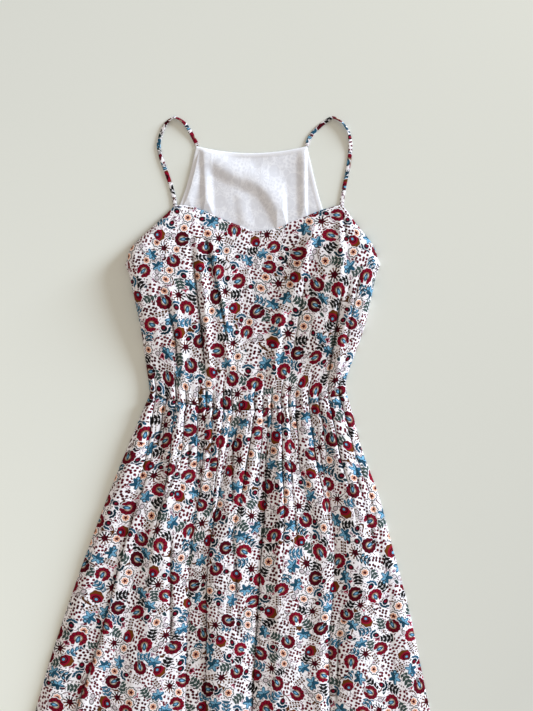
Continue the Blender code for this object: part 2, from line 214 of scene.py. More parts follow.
# How high the skirt's cloth lies between its folds, and how its sides roll under
SKIRT_LIFT = [
    # below_waist, lift
    (0.0, 5.4),
    (100.0, 5.2),
    (266.0, 4.6),
    (666.0, 4.0),
]
SIDE_ROLL = 15.0
ROLL_POWER = 2.2

# Large folds of the skirt front: lines of ridges and hollows on six levels below the waist
FOLD_LEVELS = (0.0, 100.0, 233.0, 400.0, 533.0, 666.0)
FOLD_LINES = [
    # line, place on each level as a share of the width
    ("left_edge_ridge", 0.010, 0.028, 0.026, 0.034, 0.030, 0.026),
    ("left_hollow", 0.022, 0.061, 0.056, 0.077, 0.065, 0.058),
    ("left_brim", 0.044, 0.103, 0.107, 0.112, 0.096, 0.087),
    ("left_pleat_foot", 0.054, 0.112, 0.116, 0.122, 0.106, 0.097),
    ("left_pleat_top", 0.071, 0.130, 0.129, 0.135, 0.117, 0.107),
    ("left_dip", 0.097, 0.160, 0.162, 0.168, 0.152, 0.143),
    ("left_ridge", 0.158, 0.200, 0.216, 0.257, 0.279, 0.298),
    ("left_crease", 0.270, 0.319, 0.335, 0.364, 0.384, 0.402),
    ("inner_ridge", 0.336, 0.363, 0.369, 0.394, 0.411, 0.427),
    ("inner_crease", 0.442, 0.420, 0.400, 0.421, 0.439, 0.455),
    ("middle_ridge", 0.519, 0.485, 0.431, 0.453, 0.474, 0.492),
    ("middle_crease", 0.600, 0.594, 0.573, 0.557, 0.551, 0.546),
    ("centre_ridge", 0.656, 0.644, 0.623, 0.611, 0.600, 0.594),
    ("centre_dip", 0.694, 0.688, 0.667, 0.651, 0.639, 0.630),
    ("right_inner_dip", 0.740, 0.725, 0.742, 0.690, 0.678, 0.668),
    ("right_inner_ridge", 0.775, 0.768, 0.782, 0.732, 0.718, 0.706),
    ("right_crease", 0.834, 0.829, 0.819, 0.765, 0.751, 0.738),
    ("right_ridge", 0.910, 0.906, 0.894, 0.847, 0.818, 0.797),
    ("right_dip", 0.956, 0.962, 0.960, 0.931, 0.909, 0.894),
    ("right_edge_ridge", 0.980, 0.982, 0.982, 0.968, 0.962, 0.958),
]
FOLD_HEIGHTS = [
    # line, height on each level, sharpness
    ("left_edge_ridge", 2.0, 4.0, 6.0, 6.5, 6.5, 6.5, 0.0),
    ("left_hollow", 1.0, 3.0, 4.5, 4.0, 3.5, 3.5, 0.0),
    ("left_brim", 1.0, 2.5, 3.5, 4.0, 4.5, 5.0, 0.0),
    ("left_pleat_foot", 0.6, 0.6, 0.0, -0.4, -0.4, -0.4, 1.0),
    ("left_pleat_top", 1.2, 4.0, 7.0, 8.5, 9.5, 9.5, 0.0),
    ("left_dip", 0.8, 2.5, 4.5, 5.5, 5.5, 5.5, 0.0),
    ("left_ridge", 2.0, 6.5, 9.5, 11.0, 12.0, 12.5, 0.0),
    ("left_crease", 0.5, 0.2, 0.0, -0.4, -0.4, -0.4, 1.0),
    ("inner_ridge", 1.5, 4.5, 5.0, 4.5, 4.0, 3.5, 0.0),
    ("inner_crease", 0.2, 0.2, 0.8, 1.8, 2.0, 2.0, 1.0),
    ("middle_ridge", 2.0, 6.0, 11.0, 12.0, 12.0, 12.5, 0.0),
    ("middle_crease", 0.2, 0.0, -0.4, -0.4, -0.4, -0.4, 0.9),
    ("centre_ridge", 2.0, 8.5, 12.0, 12.0, 12.0, 12.0, 0.4),
    ("centre_dip", 1.0, 5.8, 10.2, 10.8, 10.6, 10.2, 0.0),
    ("right_inner_dip", 0.8, 4.4, 6.6, 7.6, 7.8, 7.6, 0.0),
    ("right_inner_ridge", 1.5, 5.4, 8.4, 10.2, 10.6, 10.4, 0.0),
    ("right_crease", 0.2, 0.0, -0.4, -0.4, -0.4, -0.4, 1.0),
    ("right_ridge", 2.5, 8.0, 11.0, 12.5, 13.0, 13.0, 0.0),
    ("right_dip", 1.0, 3.0, 3.5, 2.5, 2.0, 2.0, 0.2),
    ("right_edge_ridge", 1.0, 2.5, 3.5, 4.0, 4.0, 4.0, 0.0),
]
SKIRT_CREASES = [
    # crease, top_x, top_y, middle_x, low_x, low_y, left side, right side, depth
    ("left_hip", -109.0, 99.0, -114.0, -121.0, 8.0, 7.0, 3.4, 3.4),
    ("left_gather", -50.0, 78.0, -53.0, -60.0, 20.0, 5.0, 2.8, 2.6),
    ("left_short", -66.0, 30.0, -67.0, -70.0, -24.0, 5.0, 3.0, 2.4),
    ("left_long", -78.0, 70.0, -92.0, -128.0, -120.0, 7.0, 3.5, 2.2),
    ("left_low", -150.0, -40.0, -172.0, -200.0, -250.0, 8.0, 4.0, 1.8),
    ("middle_short", 36.0, 74.0, 34.0, 30.0, 36.0, 4.5, 2.6, 2.6),
    ("middle_long", 14.0, 76.0, 8.0, 6.0, -110.0, 6.0, 3.2, 2.0),
    ("right_gather", 110.0, 86.0, 114.0, 120.0, 30.0, 5.0, 2.8, 3.0),
    ("right_inner", 98.0, 40.0, 108.0, 118.0, -180.0, 7.0, 3.6, 1.8),
    ("right_hip", 172.0, 104.0, 174.0, 180.0, 40.0, 5.0, 3.0, 2.8),
    ("right_outer", 205.0, 20.0, 228.0, 262.0, -190.0, 8.0, 4.0, 2.2),
    ("right_low", 186.0, -260.0, 184.0, 180.0, -500.0, 8.0, 4.0, 2.2),
    ("left_notch", -97.0, -96.0, -97.5, -97.0, -350.0, 14.0, 5.0, 2.6),
    ("middle_notch", 5.0, -96.0, 12.0, 17.0, -325.0, 9.0, 5.0, 2.4),
]

# Form of the bodice front: two soft bulges with a hollow between them
BULGE_ACROSS = [
    # share of the width, share of the height
    (0.00, 0.82),
    (0.04, 0.99),
    (0.08, 1.02),
    (0.20, 0.80),
    (0.35, 0.42),
    (0.48, 0.16),
    (0.60, 0.26),
    (0.72, 0.66),
    (0.82, 1.00),
    (0.89, 1.06),
    (0.95, 0.98),
    (1.00, 0.84),
]
BULGE_UP = [
    # share of the way up, height, lift of the hollow
    (0.00, 1.0, 5.4),
    (0.12, 4.8, 6.0),
    (0.30, 11.0, 6.6),
    (0.50, 15.8, 7.0),
    (0.70, 16.5, 7.0),
    (0.85, 9.5, 6.2),
    (1.00, 0.5, 5.0),
]
BODICE_FOLDS = [
    # fold, top_x, top_y, middle_x, low_x, low_y, left side, right side, height
    ("left_outer", -100.6, 300.0, -81.0, -76.0, 106.0, 11.0, 11.0, 3.6),
    ("left_inner", -57.0, 396.0, -40.0, -31.0, 112.0, 11.0, 11.0, 4.4),
    ("left_centre", -34.0, 398.0, -13.0, 6.0, 118.0, 12.0, 12.0, 4.4),
    ("right_centre", 93.0, 270.0, 78.6, 71.0, 100.0, 12.0, 12.0, 4.2),
    ("right_slant", 148.0, 408.0, 124.0, 100.0, 252.0, 16.0, 16.0, 4.4),
    ("right_strap", 186.0, 416.0, 187.0, 182.0, 252.0, 11.0, 11.0, 3.4),
    ("right_outer", 217.0, 300.0, 190.0, 175.0, 104.0, 15.0, 15.0, 5.0),
]
BODICE_CREASES = [
    # crease, top_x, top_y, middle_x, low_x, low_y, left side, right side, depth
    ("left_side", -109.0, 282.0, -91.0, -85.0, 126.0, 8.0, 3.6, 2.4),
    ("left_inner", -65.0, 367.0, -50.0, -38.0, 126.0, 8.0, 3.8, 3.0),
    ("left_centre", -45.0, 394.0, -18.0, 3.0, 160.0, 9.0, 3.8, 3.0),
    ("left_dart", -107.0, 366.0, -107.5, -108.0, 318.0, 3.0, 2.0, 1.4),
    ("middle_wedge", 83.0, 346.0, 98.0, 122.0, 306.0, 9.0, 4.5, 2.4),
    ("right_slant", 192.0, 300.0, 178.0, 164.0, 116.0, 10.0, 4.2, 3.4),
    ("right_inner", 128.0, 300.0, 116.0, 104.0, 150.0, 9.0, 4.0, 1.8),
    ("right_strap", 189.0, 431.0, 193.0, 197.0, 360.0, 4.0, 2.4, 1.8),
    ("right_side", 224.0, 330.0, 206.0, 190.0, 160.0, 8.0, 4.0, 2.0),
]
LINING_FOLDS = [
    # fold, top_x, top_y, middle_x, low_x, low_y, left side, right side, height
    ("left_wedge", -50.0, 521.0, -65.0, -87.0, 396.0, 2.0, 20.0, 3.2),
    ("left_soft", -43.0, 527.0, -40.5, -37.0, 380.0, 8.5, 16.0, 3.8),
    ("low_left", 18.0, 452.0, 22.0, 30.0, 384.0, 16.0, 18.0, 1.2),
    ("right_soft", 126.5, 530.0, 126.5, 127.5, 390.0, 15.0, 6.5, 3.2),
]
# A soft fold that hangs from the left corner across the lining
LINING_DRAPE = [
    # x, y of the crest
    (-52.0, 522.0),
    (-34.0, 505.0),
    (-10.0, 488.0),
    (15.0, 475.0),
    (38.0, 466.0),
    (54.0, 458.0),
    (68.0, 442.0),
    (80.0, 422.0),
    (90.0, 402.0),
    (98.0, 384.0),
]
DRAPE_ABOVE = 34.0
DRAPE_BELOW = 24.0
DRAPE_HEIGHT = 5.0
DRAPE_START_SPAN = 22.0
DRAPE_END_SPAN = 8.0

# Shoulder straps
STRAP_WIDTH = 6.6
STRAP_THICKNESS = 2.0
STRAP_GIRTH = 13.0
LEFT_STRAP = [
    # x, y, z, twist in degrees
    (-91.0, 418.5, 1.75, 0.0),
    (-93.0, 433.0, 1.40, 0.0),
    (-97.4, 453.0, 1.20, 0.0),
    (-107.0, 482.0, 1.20, 0.0),
    (-116.6, 509.5, 1.20, 0.0),
    (-119.6, 527.0, 1.40, 6.0),
    (-116.0, 544.0, 1.60, 12.0),
    (-106.5, 563.5, 2.40, 30.0),
    (-93.5, 573.0, 3.00, 58.0),
    (-80.0, 567.0, 2.40, 44.0),
    (-66.0, 549.0, 1.60, 16.0),
    (-58.5, 535.0, 1.20, 0.0),
    (-54.0, 525.6, 1.20, 0.0),
]
RIGHT_STRAP = [
    # x, y, z, twist in degrees
    (188.6, 418.5, 1.75, 0.0),
    (190.2, 433.0, 1.40, 0.0),
    (193.6, 455.0, 1.20, 0.0),
    (199.4, 484.0, 1.20, 0.0),
    (203.4, 511.0, 1.20, 0.0),
    (203.8, 533.0, 1.40, -22.0),
    (199.4, 551.5, 2.40, -50.0),
    (187.0, 567.0, 2.90, -62.0),
    (174.5, 572.8, 2.40, -40.0),
    (161.0, 565.5, 1.60, -14.0),
    (144.5, 551.0, 1.40, 0.0),
    (135.0, 539.0, 1.20, 0.0),
    (130.2, 525.4, 1.20, 0.0),
]
STRAP_STATIONS = 150
STRAP_CORNERS = 12
STRAP_SQUARENESS = (0.6, 0.8)
STRAP_UNEVENNESS = 0.12

# Width, length and seed of the unevenness
STRAP_CRUMPLE = (5.0, 40.0, 41)

# Where the straps are cut from the printed cloth, millimetres
LEFT_STRAP_PRINT = 358.0
RIGHT_STRAP_PRINT = 526.0
STRAP_PRINT_START = 5.0

# Sewing thread
THREAD = 0.35
THREAD_LIFT = 0.1
STITCH_SPACING = 3.0
STITCH_SHARE = 0.66
STITCH_POINTS = 400
STITCH_MARGIN = 0.012
NECK_STITCH_ROW = 0.992
WAIST_STITCH_ROW = 0.006
WAIST_STITCH_MARGIN = 0.02
BAND_STITCH_ENDS = (3, 5)
HEM_STITCH = 9.0
BAND_STITCH = 5.2

# Shade held deep between folds, millimetres
SHADE_STEP = 0.4
SHADE_REACH = 4.0
SHADE_START = 0.4
SHADE_SPAN = 1.2
SHADE_EDGE = 6.0

# Its strongest share
SHADE_WEIGHT = 0.85

# Where the skirt is cut from the printed cloth, metres
SKIRT_CUT = (0.313, 0.427)

# The print keeps straight over this many rows of short gathers, and follows this share of a fold
EVEN_ROWS = 24
PRINT_FOLLOWS = 0.7

# Columns of the grids
SKIRT_COLUMNS = 221
SKIRT_BACK_COLUMNS = 127
BODICE_COLUMNS = 281
LINING_COLUMNS = 221

# Rows of the grids, in parts that each have a start, as a share, and a count
SKIRT_ROWS = ((0.0, 6), (0.014, 36), (0.2, 76))
BODICE_ROWS = ((0.0, 7), (0.03, 94), (0.9, 16))
LINING_ROWS = ((0.0, 40), (0.6, 130))
BODICE_BACK_GRID = (105, 60)

# Closer columns beside sides, creases and slits, as shares of the width
NEAR_SIDE = (0.0, 0.0012, 0.003, 0.006, 0.010, 0.016, 0.023)
SIDE_STRIP = 0.029
NEAR_CREASE = (-0.0012, 0.0, 0.0006, 0.0013, 0.0022)
NEAR_SLIT = (-0.004, -0.0016, 0.0, 0.0012, 0.003, 0.006)
SHARP_LINE = 0.5
SLIT_SEARCH = 4001

# The ground, metres
FLOOR_HALF = 6.0
FLOOR_Z = -0.0004

# Camera and light
VIEW_CENTRE = (0.0625, 0.1740)
VIEW_LENGTH = 1.2016
CAMERA_HEIGHT = 1.65
SENSOR = 36.0
ROOM_LIGHT = (0.60, 0.55, 0.495)
WINDOW_LIGHT = (0.756, 0.867, 1.0)
WINDOW_STRENGTH = 5.84
WINDOW_HEADING = 28.0
WINDOW_HEIGHT = 14.0
WINDOW_SPREAD = 20.0


def smooth_between(where, stations, values):
    """Value at each place, on a smooth curve through the values at the stations."""
    stations = np.asarray(stations, float)
    values = np.asarray(values, float)
    slopes = np.gradient(values, stations)
    where = np.clip(where, stations[0], stations[-1])
    left = np.clip(np.searchsorted(stations, where, side="right") - 1, 0, len(stations) - 2)
    span = stations[left + 1] - stations[left]
    t = (where - stations[left]) / span
    from_left = values[left] * (1 + 2 * t) + slopes[left] * span * t
    from_right = values[left + 1] * (3 - 2 * t) - slopes[left + 1] * span * (1 - t)
    return from_left * (1 - t) ** 2 + from_right * t**2


def column(table, index):
    """One column of a table."""
    return [row[index] for row in table]


def on_curve(where, table, index=1):
    """A table's column at each place, on a smooth curve, with its first column as the places."""
    return smooth_between(where, column(table, 0), column(table, index))


def running_total(steps):
    """The sum of the steps before each place."""
    return np.concatenate([[0], np.cumsum(steps)])


def eased(share):
    """A share from 0 to 1, with a soft start and a soft end."""
    return share * share * (3 - 2 * share)


def from_sides(across):
    """Each place's share of the width from the nearer side."""
    return np.minimum(across, 1 - across)


def hump(distance, half_left, half_right):
    """A rounded ridge of height 1: its distance runs to the right from the crest."""
    share = np.where(distance < 0, distance / half_left, distance / half_right)
    return 0.5 + 0.5 * np.cos(math.pi * np.clip(share, -1, 1))


def uneven(x, y, cell_x, cell_y, seed):
    """Soft random unevenness between -1 and 1, as large as its cells."""
    draws = np.random.default_rng(seed).uniform(-1, 1, (256, 256))
    u, v = x / cell_x + 100, y / cell_y + 100
    column_at, row_at = np.floor(u).astype(int), np.floor(v).astype(int)
    fu, fv = u - column_at, v - row_at
    fu, fv = eased(fu), eased(fv)
    c0, c1, r0, r1 = column_at % 256, (column_at + 1) % 256, row_at % 256, (row_at + 1) % 256
    low = draws[r0, c0] * (1 - fu) + draws[r0, c1] * fu
    high = draws[r1, c0] * (1 - fu) + draws[r1, c1] * fu
    return low * (1 - fv) + high * fv


def crumple(x, y, layers):
    """Slight random height, in layers that are each as large as their cells."""
    return sum(size * uneven(x, y, wide, long, seed) for size, wide, long, seed in layers)


def waves(place, table):
    """A sum of waves, each with its size and its rate."""
    return sum(size * np.sin(rate * place) for size, rate in table)


def slow_wave(phase, wave):
    """A wave over the number of a gather, from its rate and its start."""
    return np.sin(wave[0] * phase + wave[1])


def gather_phase(cloth):
    """Counts the gathers from the left seam, unevenly, as fingers would set them."""
    return GATHERS * cloth + waves(cloth, GATHER_WANDER)


def gathers(cloth, along, height, reach, spread):
    """Small ridges that start at the waist seam and die out, each after its own length."""
    phase = gather_phase(cloth)
    own_reach = reach + spread * slow_wave(phase, GATHER_LENGTH_WAVE)
    fade = np.exp(-((along / np.maximum(own_reach, GATHER_SHORTEST)) ** GATHER_FADE))
    own_height = 1.0 + GATHER_HEIGHT_SPREAD * slow_wave(phase, GATHER_HEIGHT_WAVE)
    turn = phase - np.floor(phase)
    rise = np.where(turn < GATHER_CREST, turn / GATHER_CREST, (1 - turn) / (1 - GATHER_CREST))
    ridge = np.sin(0.5 * math.pi * rise) ** GATHER_POWER
    return fade * (height * own_height * ridge - SLIT_DEPTH * (1 - ridge) ** 2)


def back_gathers(cloth, along, reach):
    """Low gathers of a back panel, which lies flat on the ground elsewhere."""
    lifted = np.maximum(gathers(cloth, along, BACK_GATHER_HEIGHT, reach, 0.0), 0)
    lifted = np.where(along > BACK_GATHER_END * reach, 0.0, lifted)
    return lifted * np.clip((from_sides(cloth) - BACK_SIDE_START) * BACK_SIDE_RISE, 0, 1)


def puckers(cloth, along):
    """Fine puckers and the dip of the cloth right beside the waist seam."""
    phase = PUCKERS * cloth + waves(cloth, PUCKER_WANDER)
    own_height = PUCKER_LEAST + PUCKER_SPREAD * np.sin(PUCKER_HEIGHT_RATE * np.floor(phase))
    ridges = own_height * np.abs(np.sin(math.pi * phase)) ** CREASE_POWER
    own_reach = PUCKER_REACH * (1 + PUCKER_REACH_SPREAD * np.sin(PUCKER_REACH_RATE * np.floor(phase)))
    dip = SEAM_DIP * np.exp(-((along / SEAM_DIP_REACH) ** 2))
    return PUCKER_HEIGHT * ridges * np.exp(-((along / own_reach) ** 2)) - dip


def roll(across, width):
    """Share of the full height near a side edge, where the cloth turns under."""
    inward = from_sides(across) * width
    left_over = 1 - np.clip(inward / SIDE_ROLL, 0, 1)
    return (1 - left_over**ROLL_POWER) ** (1 / ROLL_POWER)


def skirt_sides(down):
    """Where the skirt's two side seams are."""
    depth = down * SKIRT_DEPTH
    return on_curve(depth, SKIRT_SIDES), on_curve(depth, SKIRT_SIDES, 2)


def follow_folds(cloth, down):
    """Where a lengthwise thread lies across the skirt: threads run along the fold crests."""
    depth = down * SKIRT_DEPTH
    start = np.array([0.0] + column(FOLD_LINES, 1) + [1.0])
    across = np.empty(cloth.shape)
    for row in range(len(cloth)):
        lines = [smooth_between(depth[row, :1], FOLD_LEVELS, line[1:])[0] for line in FOLD_LINES]
        across[row] = np.interp(cloth[row], start, [0.0] + lines + [1.0])
    return across


def skirt_plan(cloth, down):
    """Place of the skirt back, and of the skirt front before its ridges lean."""
    across = follow_folds(cloth, down)
    left, right = skirt_sides(down)
    bow = WAIST_BOW + (HEM_BOW - WAIST_BOW) * down
    x = left + (right - left) * across
    y = WAIST_Y - down * SKIRT_DEPTH - bow * (1 - (2 * across - 1) ** 2)
    return x, y


def climb(share, sharp_start, sharp_end):
    """From 0 to 1: level at a rounded end, and steep from the first at a sharp one."""
    rounded = 0.5 - 0.5 * np.cos(math.pi * share)
    from_start = np.sin(0.5 * math.pi * share) ** CREASE_POWER - rounded
    to_end = 1 - np.cos(0.5 * math.pi * share) ** CREASE_POWER - rounded
    return rounded + sharp_start * from_start + sharp_end * to_end


def skirt_folds(across, down):
    """Height of the folds, on a curve that runs through every fold line."""
    depth = down * SKIRT_DEPTH
    total = np.zeros(across.shape)
    place, height, sharp = np.zeros(depth.shape), np.zeros(depth.shape), 0.0
    edge = ("right_edge",) + (1.0,) * len(FOLD_LEVELS)
    flat = ("right_edge",) + (0.0,) * len(FOLD_LEVELS) + (0.0,)
    for line, size in zip(FOLD_LINES + [edge], FOLD_HEIGHTS + [flat]):
        next_place = smooth_between(depth, FOLD_LEVELS, line[1:])
        next_height = FOLD_RISE * smooth_between(depth, FOLD_LEVELS, size[1:7])
        share = (across - place) / (next_place - place)
        inside = (share >= 0) & (share <= 1)
        between = height + (next_height - height) * climb(np.clip(share, 0, 1), sharp, size[7])
        total = np.where(inside, between, total)
        place, height, sharp = next_place, next_height, size[7]
    return total


def along_line(row, fade, x, y):
    """How far each place is to the right of a slanting line, and how strong the line is there."""
    top_x, top_y, middle_x, low_x, low_y = row[1:6]
    centre = smooth_between(y, (low_y, 0.5 * (top_y + low_y), top_y), (low_x, middle_x, top_x))
    ends = np.clip(np.minimum(y - low_y, top_y - y) / (fade * (top_y - low_y)), 0, 1)
    return x - centre, eased(ends)


def creases(table, x, y):
    """Narrow grooves along slanting lines, steep on the right and gentle on the left."""
    total = np.zeros(x.shape)
    for row in table:
        left_side, right_side, depth = row[6:]
        off, strength = along_line(row, CREASE_FADE, x, y)
        across = np.clip(np.where(off < 0, -off / left_side, off / right_side), 0, 1)
        groove = 1 - np.sin(0.5 * math.pi * across) ** CREASE_POWER
        total = total - CREASE_DEEPENING * depth * strength * groove
    return total


def slanting_folds(table, x, y):
    """Rounded ridges along slanting lines."""
    total = np.zeros(x.shape)
    for row in table:
        left_side, right_side, height = row[6:]
        off, strength = along_line(row, FOLD_FADE, x, y)
        total = total + height * strength * hump(off, left_side, right_side)
    return total


def tucked(distance, reach):
    """Share of the shift to the left that leans a ridge over the crease on its left."""
    share = np.maximum(distance, 0) / reach
    return share * np.exp(1 - share)


def skirt_front_plan(cloth, down):
    """Place of the skirt front, with each ridge leaning a little over its crease."""
    x, y = skirt_plan(cloth, down)
    across = follow_folds(cloth, down)
    left, right = skirt_sides(down)
    depth = down * SKIRT_DEPTH
    shift = np.zeros(x.shape)
    for line, size in zip(FOLD_LINES, FOLD_HEIGHTS):
        place = smooth_between(depth, FOLD_LEVELS, line[1:])
        lean = tucked((across - place) * (right - left), FOLD_TUCK_REACH)
        shift = shift + FOLD_TUCK * size[7] ** 4 * lean
    shift = shift * np.clip((depth - FOLD_TUCK_FROM) / FOLD_TUCK_SPAN, 0, 1)
    turn = gather_phase(cloth) % 1.0
    fade = np.exp(-((depth / GATHER_TUCK_FADE) ** 2)) * np.clip(from_sides(cloth) * FRONT_SIDE_RISE, 0, 1)
    shift = shift + GATHER_TUCK * fade * tucked(turn * GATHER_STEP, GATHER_TUCK_REACH)
    return x - shift, y


def skirt_front_height(cloth, down):
    """Height of the outer face of the skirt front."""
    across = follow_folds(cloth, down)
    left, right = skirt_sides(down)
    depth = down * SKIRT_DEPTH
    small = gathers(cloth, depth, GATHER_HEIGHT, GATHER_REACH, GATHER_SPREAD) + puckers(cloth, depth)
    x, y = skirt_plan(cloth, down)
    small = small + crumple(x, depth, SKIRT_CRUMPLE) * np.clip(depth / SKIRT_CRUMPLE_SPAN, 0, 1)
    edge = FRONT_EDGE_Z + EDGE_TURN
    large = on_curve(depth, SKIRT_LIFT) + skirt_folds(across, down)
    full = large + small + creases(SKIRT_CREASES, x, y)
    return edge + roll(across, right - left) * np.maximum(full - edge, LEAST_FRONT_RISE)


def skirt_back_height(cloth, down):
    """Height of the outer face of the skirt back, which lies on the ground."""
    return back_gathers(cloth, down * SKIRT_DEPTH, SKIRT_BACK_REACH)


def waist_line(across):
    """The waist seam, which bows towards the hem."""
    return WAIST_Y - WAIST_BOW * (1 - (2 * across - 1) ** 2)


def bodice_plan(across, up, sides, top_x, top_y):
    """Spreads a grid between the waist seam, two sides and the top edge."""
    rise = column(sides, 0)
    left_x, right_x = column(sides, 1), column(sides, 2)
    steps = np.hypot(np.diff(left_x), np.diff(rise)) + np.hypot(np.diff(right_x), np.diff(rise))
    way = running_total(steps)
    height = smooth_between(up, way / way[-1], rise)
    left, right = on_curve(height, sides), on_curve(height, sides, 2)
    side_y = WAIST_Y + height
    waist_x = left_x[0] + (right_x[0] - left_x[0]) * across
    corner_x = (1 - up) * waist_x + up * (left_x[-1] + (right_x[-1] - left_x[-1]) * across)
    x = (1 - up) * waist_x + up * top_x + left + (right - left) * across - corner_x
    top = WAIST_Y + rise[-1]
    y = (1 - up) * waist_line(across) + up * top_y + side_y - ((1 - up) * WAIST_Y + up * top)
    return x, y


def front_plan(across, up):
    """Place of the bodice front, up to its neckline."""
    neck_x, drop = column(NECKLINE, 0), column(NECKLINE, 1)
    reach = running_total(np.hypot(np.diff(neck_x), np.diff(drop)))
    share = reach / reach[-1]
    top_x = smooth_between(across, share, neck_x)
    top_y = WAIST_Y + FRONT_SIDES[-1][0] - smooth_between(across, share, drop)
    return bodice_plan(across, up, FRONT_SIDES, top_x, top_y)


def back_plan(across, up):
    """Place of the bodice back, up to its high neckline."""
    height, left, right = BACK_SIDES[-1]
    top_x = left + (right - left) * across
    top_y = WAIST_Y + height - BACK_NECK_BOW * (1 - (2 * across - 1) ** 2)
    return bodice_plan(across, up, BACK_SIDES, top_x, top_y)


def front_height(across, up):
    """Height of the outer face of the bodice front."""
    x, y = front_plan(across, up)
    bulge, hollow = on_curve(up, BULGE_UP), on_curve(up, BULGE_UP, 2)
    form = on_curve(across, BULGE_ACROSS)
    above = np.maximum(y - waist_line(across), 0)
    small = gathers(across, above, BODICE_GATHER_HEIGHT, BODICE_GATHER_REACH, BODICE_GATHER_SPREAD)
    small = small + puckers(across, above)
    fine = crumple(x, y, BODICE_CRUMPLE) * np.clip(above / BODICE_CRUMPLE_SPAN, 0, 1)
    fine = (fine + creases(BODICE_CREASES, x, y)) * np.clip((1 - up) / NECK_CRUMPLE_SPAN, 0, 1)
    armhole = np.clip((y - (WAIST_Y + ARMHOLE_START)) / ARMHOLE_SPAN, 0, 1)
    edge = FRONT_EDGE_Z + EDGE_TURN + ARMHOLE_LIFT * armhole
    full = hollow + bulge * form + slanting_folds(BODICE_FOLDS, x, y) + small + fine
    width = x[:, -1:] - x[:, :1]
    return edge + roll(across, width) * np.maximum(full - edge, 0)


def back_height(across, up):
    """Height of the outer face of the bodice back, which lies on the ground."""
    y = back_plan(across, up)[1]
    return back_gathers(across, np.maximum(y - waist_line(across), 0), BODICE_BACK_REACH)


def lining_plan(across, up):
    """The lining lies on the back: inside its edges low down, and flush with them above."""
    x, y = back_plan(across, up)
    middle = 0.5 * (x[:, :1] + x[:, -1:])
    half = 0.5 * (x[:, -1:] - x[:, :1])
    bare = np.clip((y[:, :1] - WAIST_Y - LINING_BARE_FROM) / LINING_BARE_SPAN, 0, 1)
    inset = LINING_INSET - (LINING_INSET + LINING_OVERLAP) * bare
    return middle + (x - middle) * (half - inset) / half, y + LINING_OVERLAP * (up == 1)


def edge_distance(x, y):
    """How far each place of the lining is from its sides and its top edge."""
    to_side = np.minimum(x - x[:, :1], x[:, -1:] - x)
    return np.minimum(to_side, y[-1:, :] - y)


def drape(x, y):
    """Height of the slanting soft fold: broad above its crest and steeper below."""
    crest_y = on_curve(x, LINING_DRAPE)
    slope = on_curve(x + 1, LINING_DRAPE) - crest_y
    off = (y - crest_y) / np.hypot(1.0, slope)
    start, end = LINING_DRAPE[0][0], LINING_DRAPE[-1][0]
    ends = np.clip((x - start) / DRAPE_START_SPAN, 0, 1) * np.clip((end - x) / DRAPE_END_SPAN, 0, 1)
    return DRAPE_HEIGHT * ends * hump(off, DRAPE_BELOW, DRAPE_ABOVE)


def lining_height(across, up):
    """Height of the upper face of the lining."""
    x, y = lining_plan(across, up)
    to_edge = edge_distance(x, y)
    soft = slanting_folds(LINING_FOLDS, x, y) + drape(x, y) + crumple(x, y, LINING_CRUMPLE)
    soft = soft * np.clip(to_edge / BAND_WIDTH, 0, 1)
    neckline = WAIST_Y + FRONT_SIDES[-1][0] - on_curve(x, NECKLINE)
    soft = np.minimum(soft, UNDER_FRONT + UNDER_FRONT_SLOPE * np.maximum(y - neckline, 0))
    on_band = np.clip(BAND_WIDTH - to_edge + 0.5, 0, 1) * np.clip(to_edge / BAND_SOFTNESS, 0, 1)
    groove = np.clip(1 - abs(to_edge - BAND_WIDTH + BAND_SOFTNESS), 0, 1)
    return LINING_Z + soft + BAND_HEIGHT * on_band - BAND_GROOVE * groove


def grid_of(plan, height, columns, rows):
    """Points of a cloth's outer face, row by row."""
    across, along = np.meshgrid(columns, rows)
    x, y = plan(across, along)
    return np.stack([x, y, height(across, along)], axis=-1)


def turned_edge(grid, side, turn, underlap=0.0):
    """Adds one more line of points beside an edge, lower by the turn and moved up the dress."""
    line = {"left": grid[:, :1], "right": grid[:, -1:], "first": grid[:1], "last": grid[-1:]}[side].copy()
    line[..., 2] -= turn
    line[..., 1] += underlap
    pieces = [line, grid] if side in ("left", "first") else [grid, line]
    return np.concatenate(pieces, axis=1 if side in ("left", "right") else 0)


def turned_sides(grid):
    """Turns both sides of a front panel down to the back panel."""
    return turned_edge(turned_edge(grid, "left", EDGE_TURN), "right", EDGE_TURN)


def depth_between(places, heights):
    """How far each place on a line of cloth lies below the cloth on both sides of it."""
    order = np.argsort(places)
    even = np.arange(places.min(), places.max() + SHADE_STEP, SHADE_STEP)
    level = np.interp(even, places[order], heights[order])
    reach = int(SHADE_REACH / SHADE_STEP)
    window = np.ones(2 * reach + 1) / (2 * reach + 1)
    around = np.convolve(np.pad(level, reach, mode="edge"), window, "valid")
    off_edge = np.minimum(places - places.min(), places.max() - places)
    return (np.interp(places, even, around) - heights) * np.clip(off_edge / SHADE_EDGE, 0, 1)


def fold_shade(grid):
    """Share of shade deep between the folds, from 0 to 1."""
    across = np.array([depth_between(row[:, 0], row[:, 2]) for row in grid])
    return np.clip((across - SHADE_START) / SHADE_SPAN, 0, 1)


def settled(grid):
    """Keeps an upper panel's edges clear of the ground."""
    grid[..., 2] = np.maximum(grid[..., 2], SHELL + SETTLED_CLEARANCE)
    return grid


def way_across(grid):
    """How far each point is from the start of its row, along the row."""
    steps = np.linalg.norm(np.diff(grid, axis=1), axis=2)
    return np.concatenate([np.zeros((len(grid), 1)), np.cumsum(steps, axis=1)], axis=1)


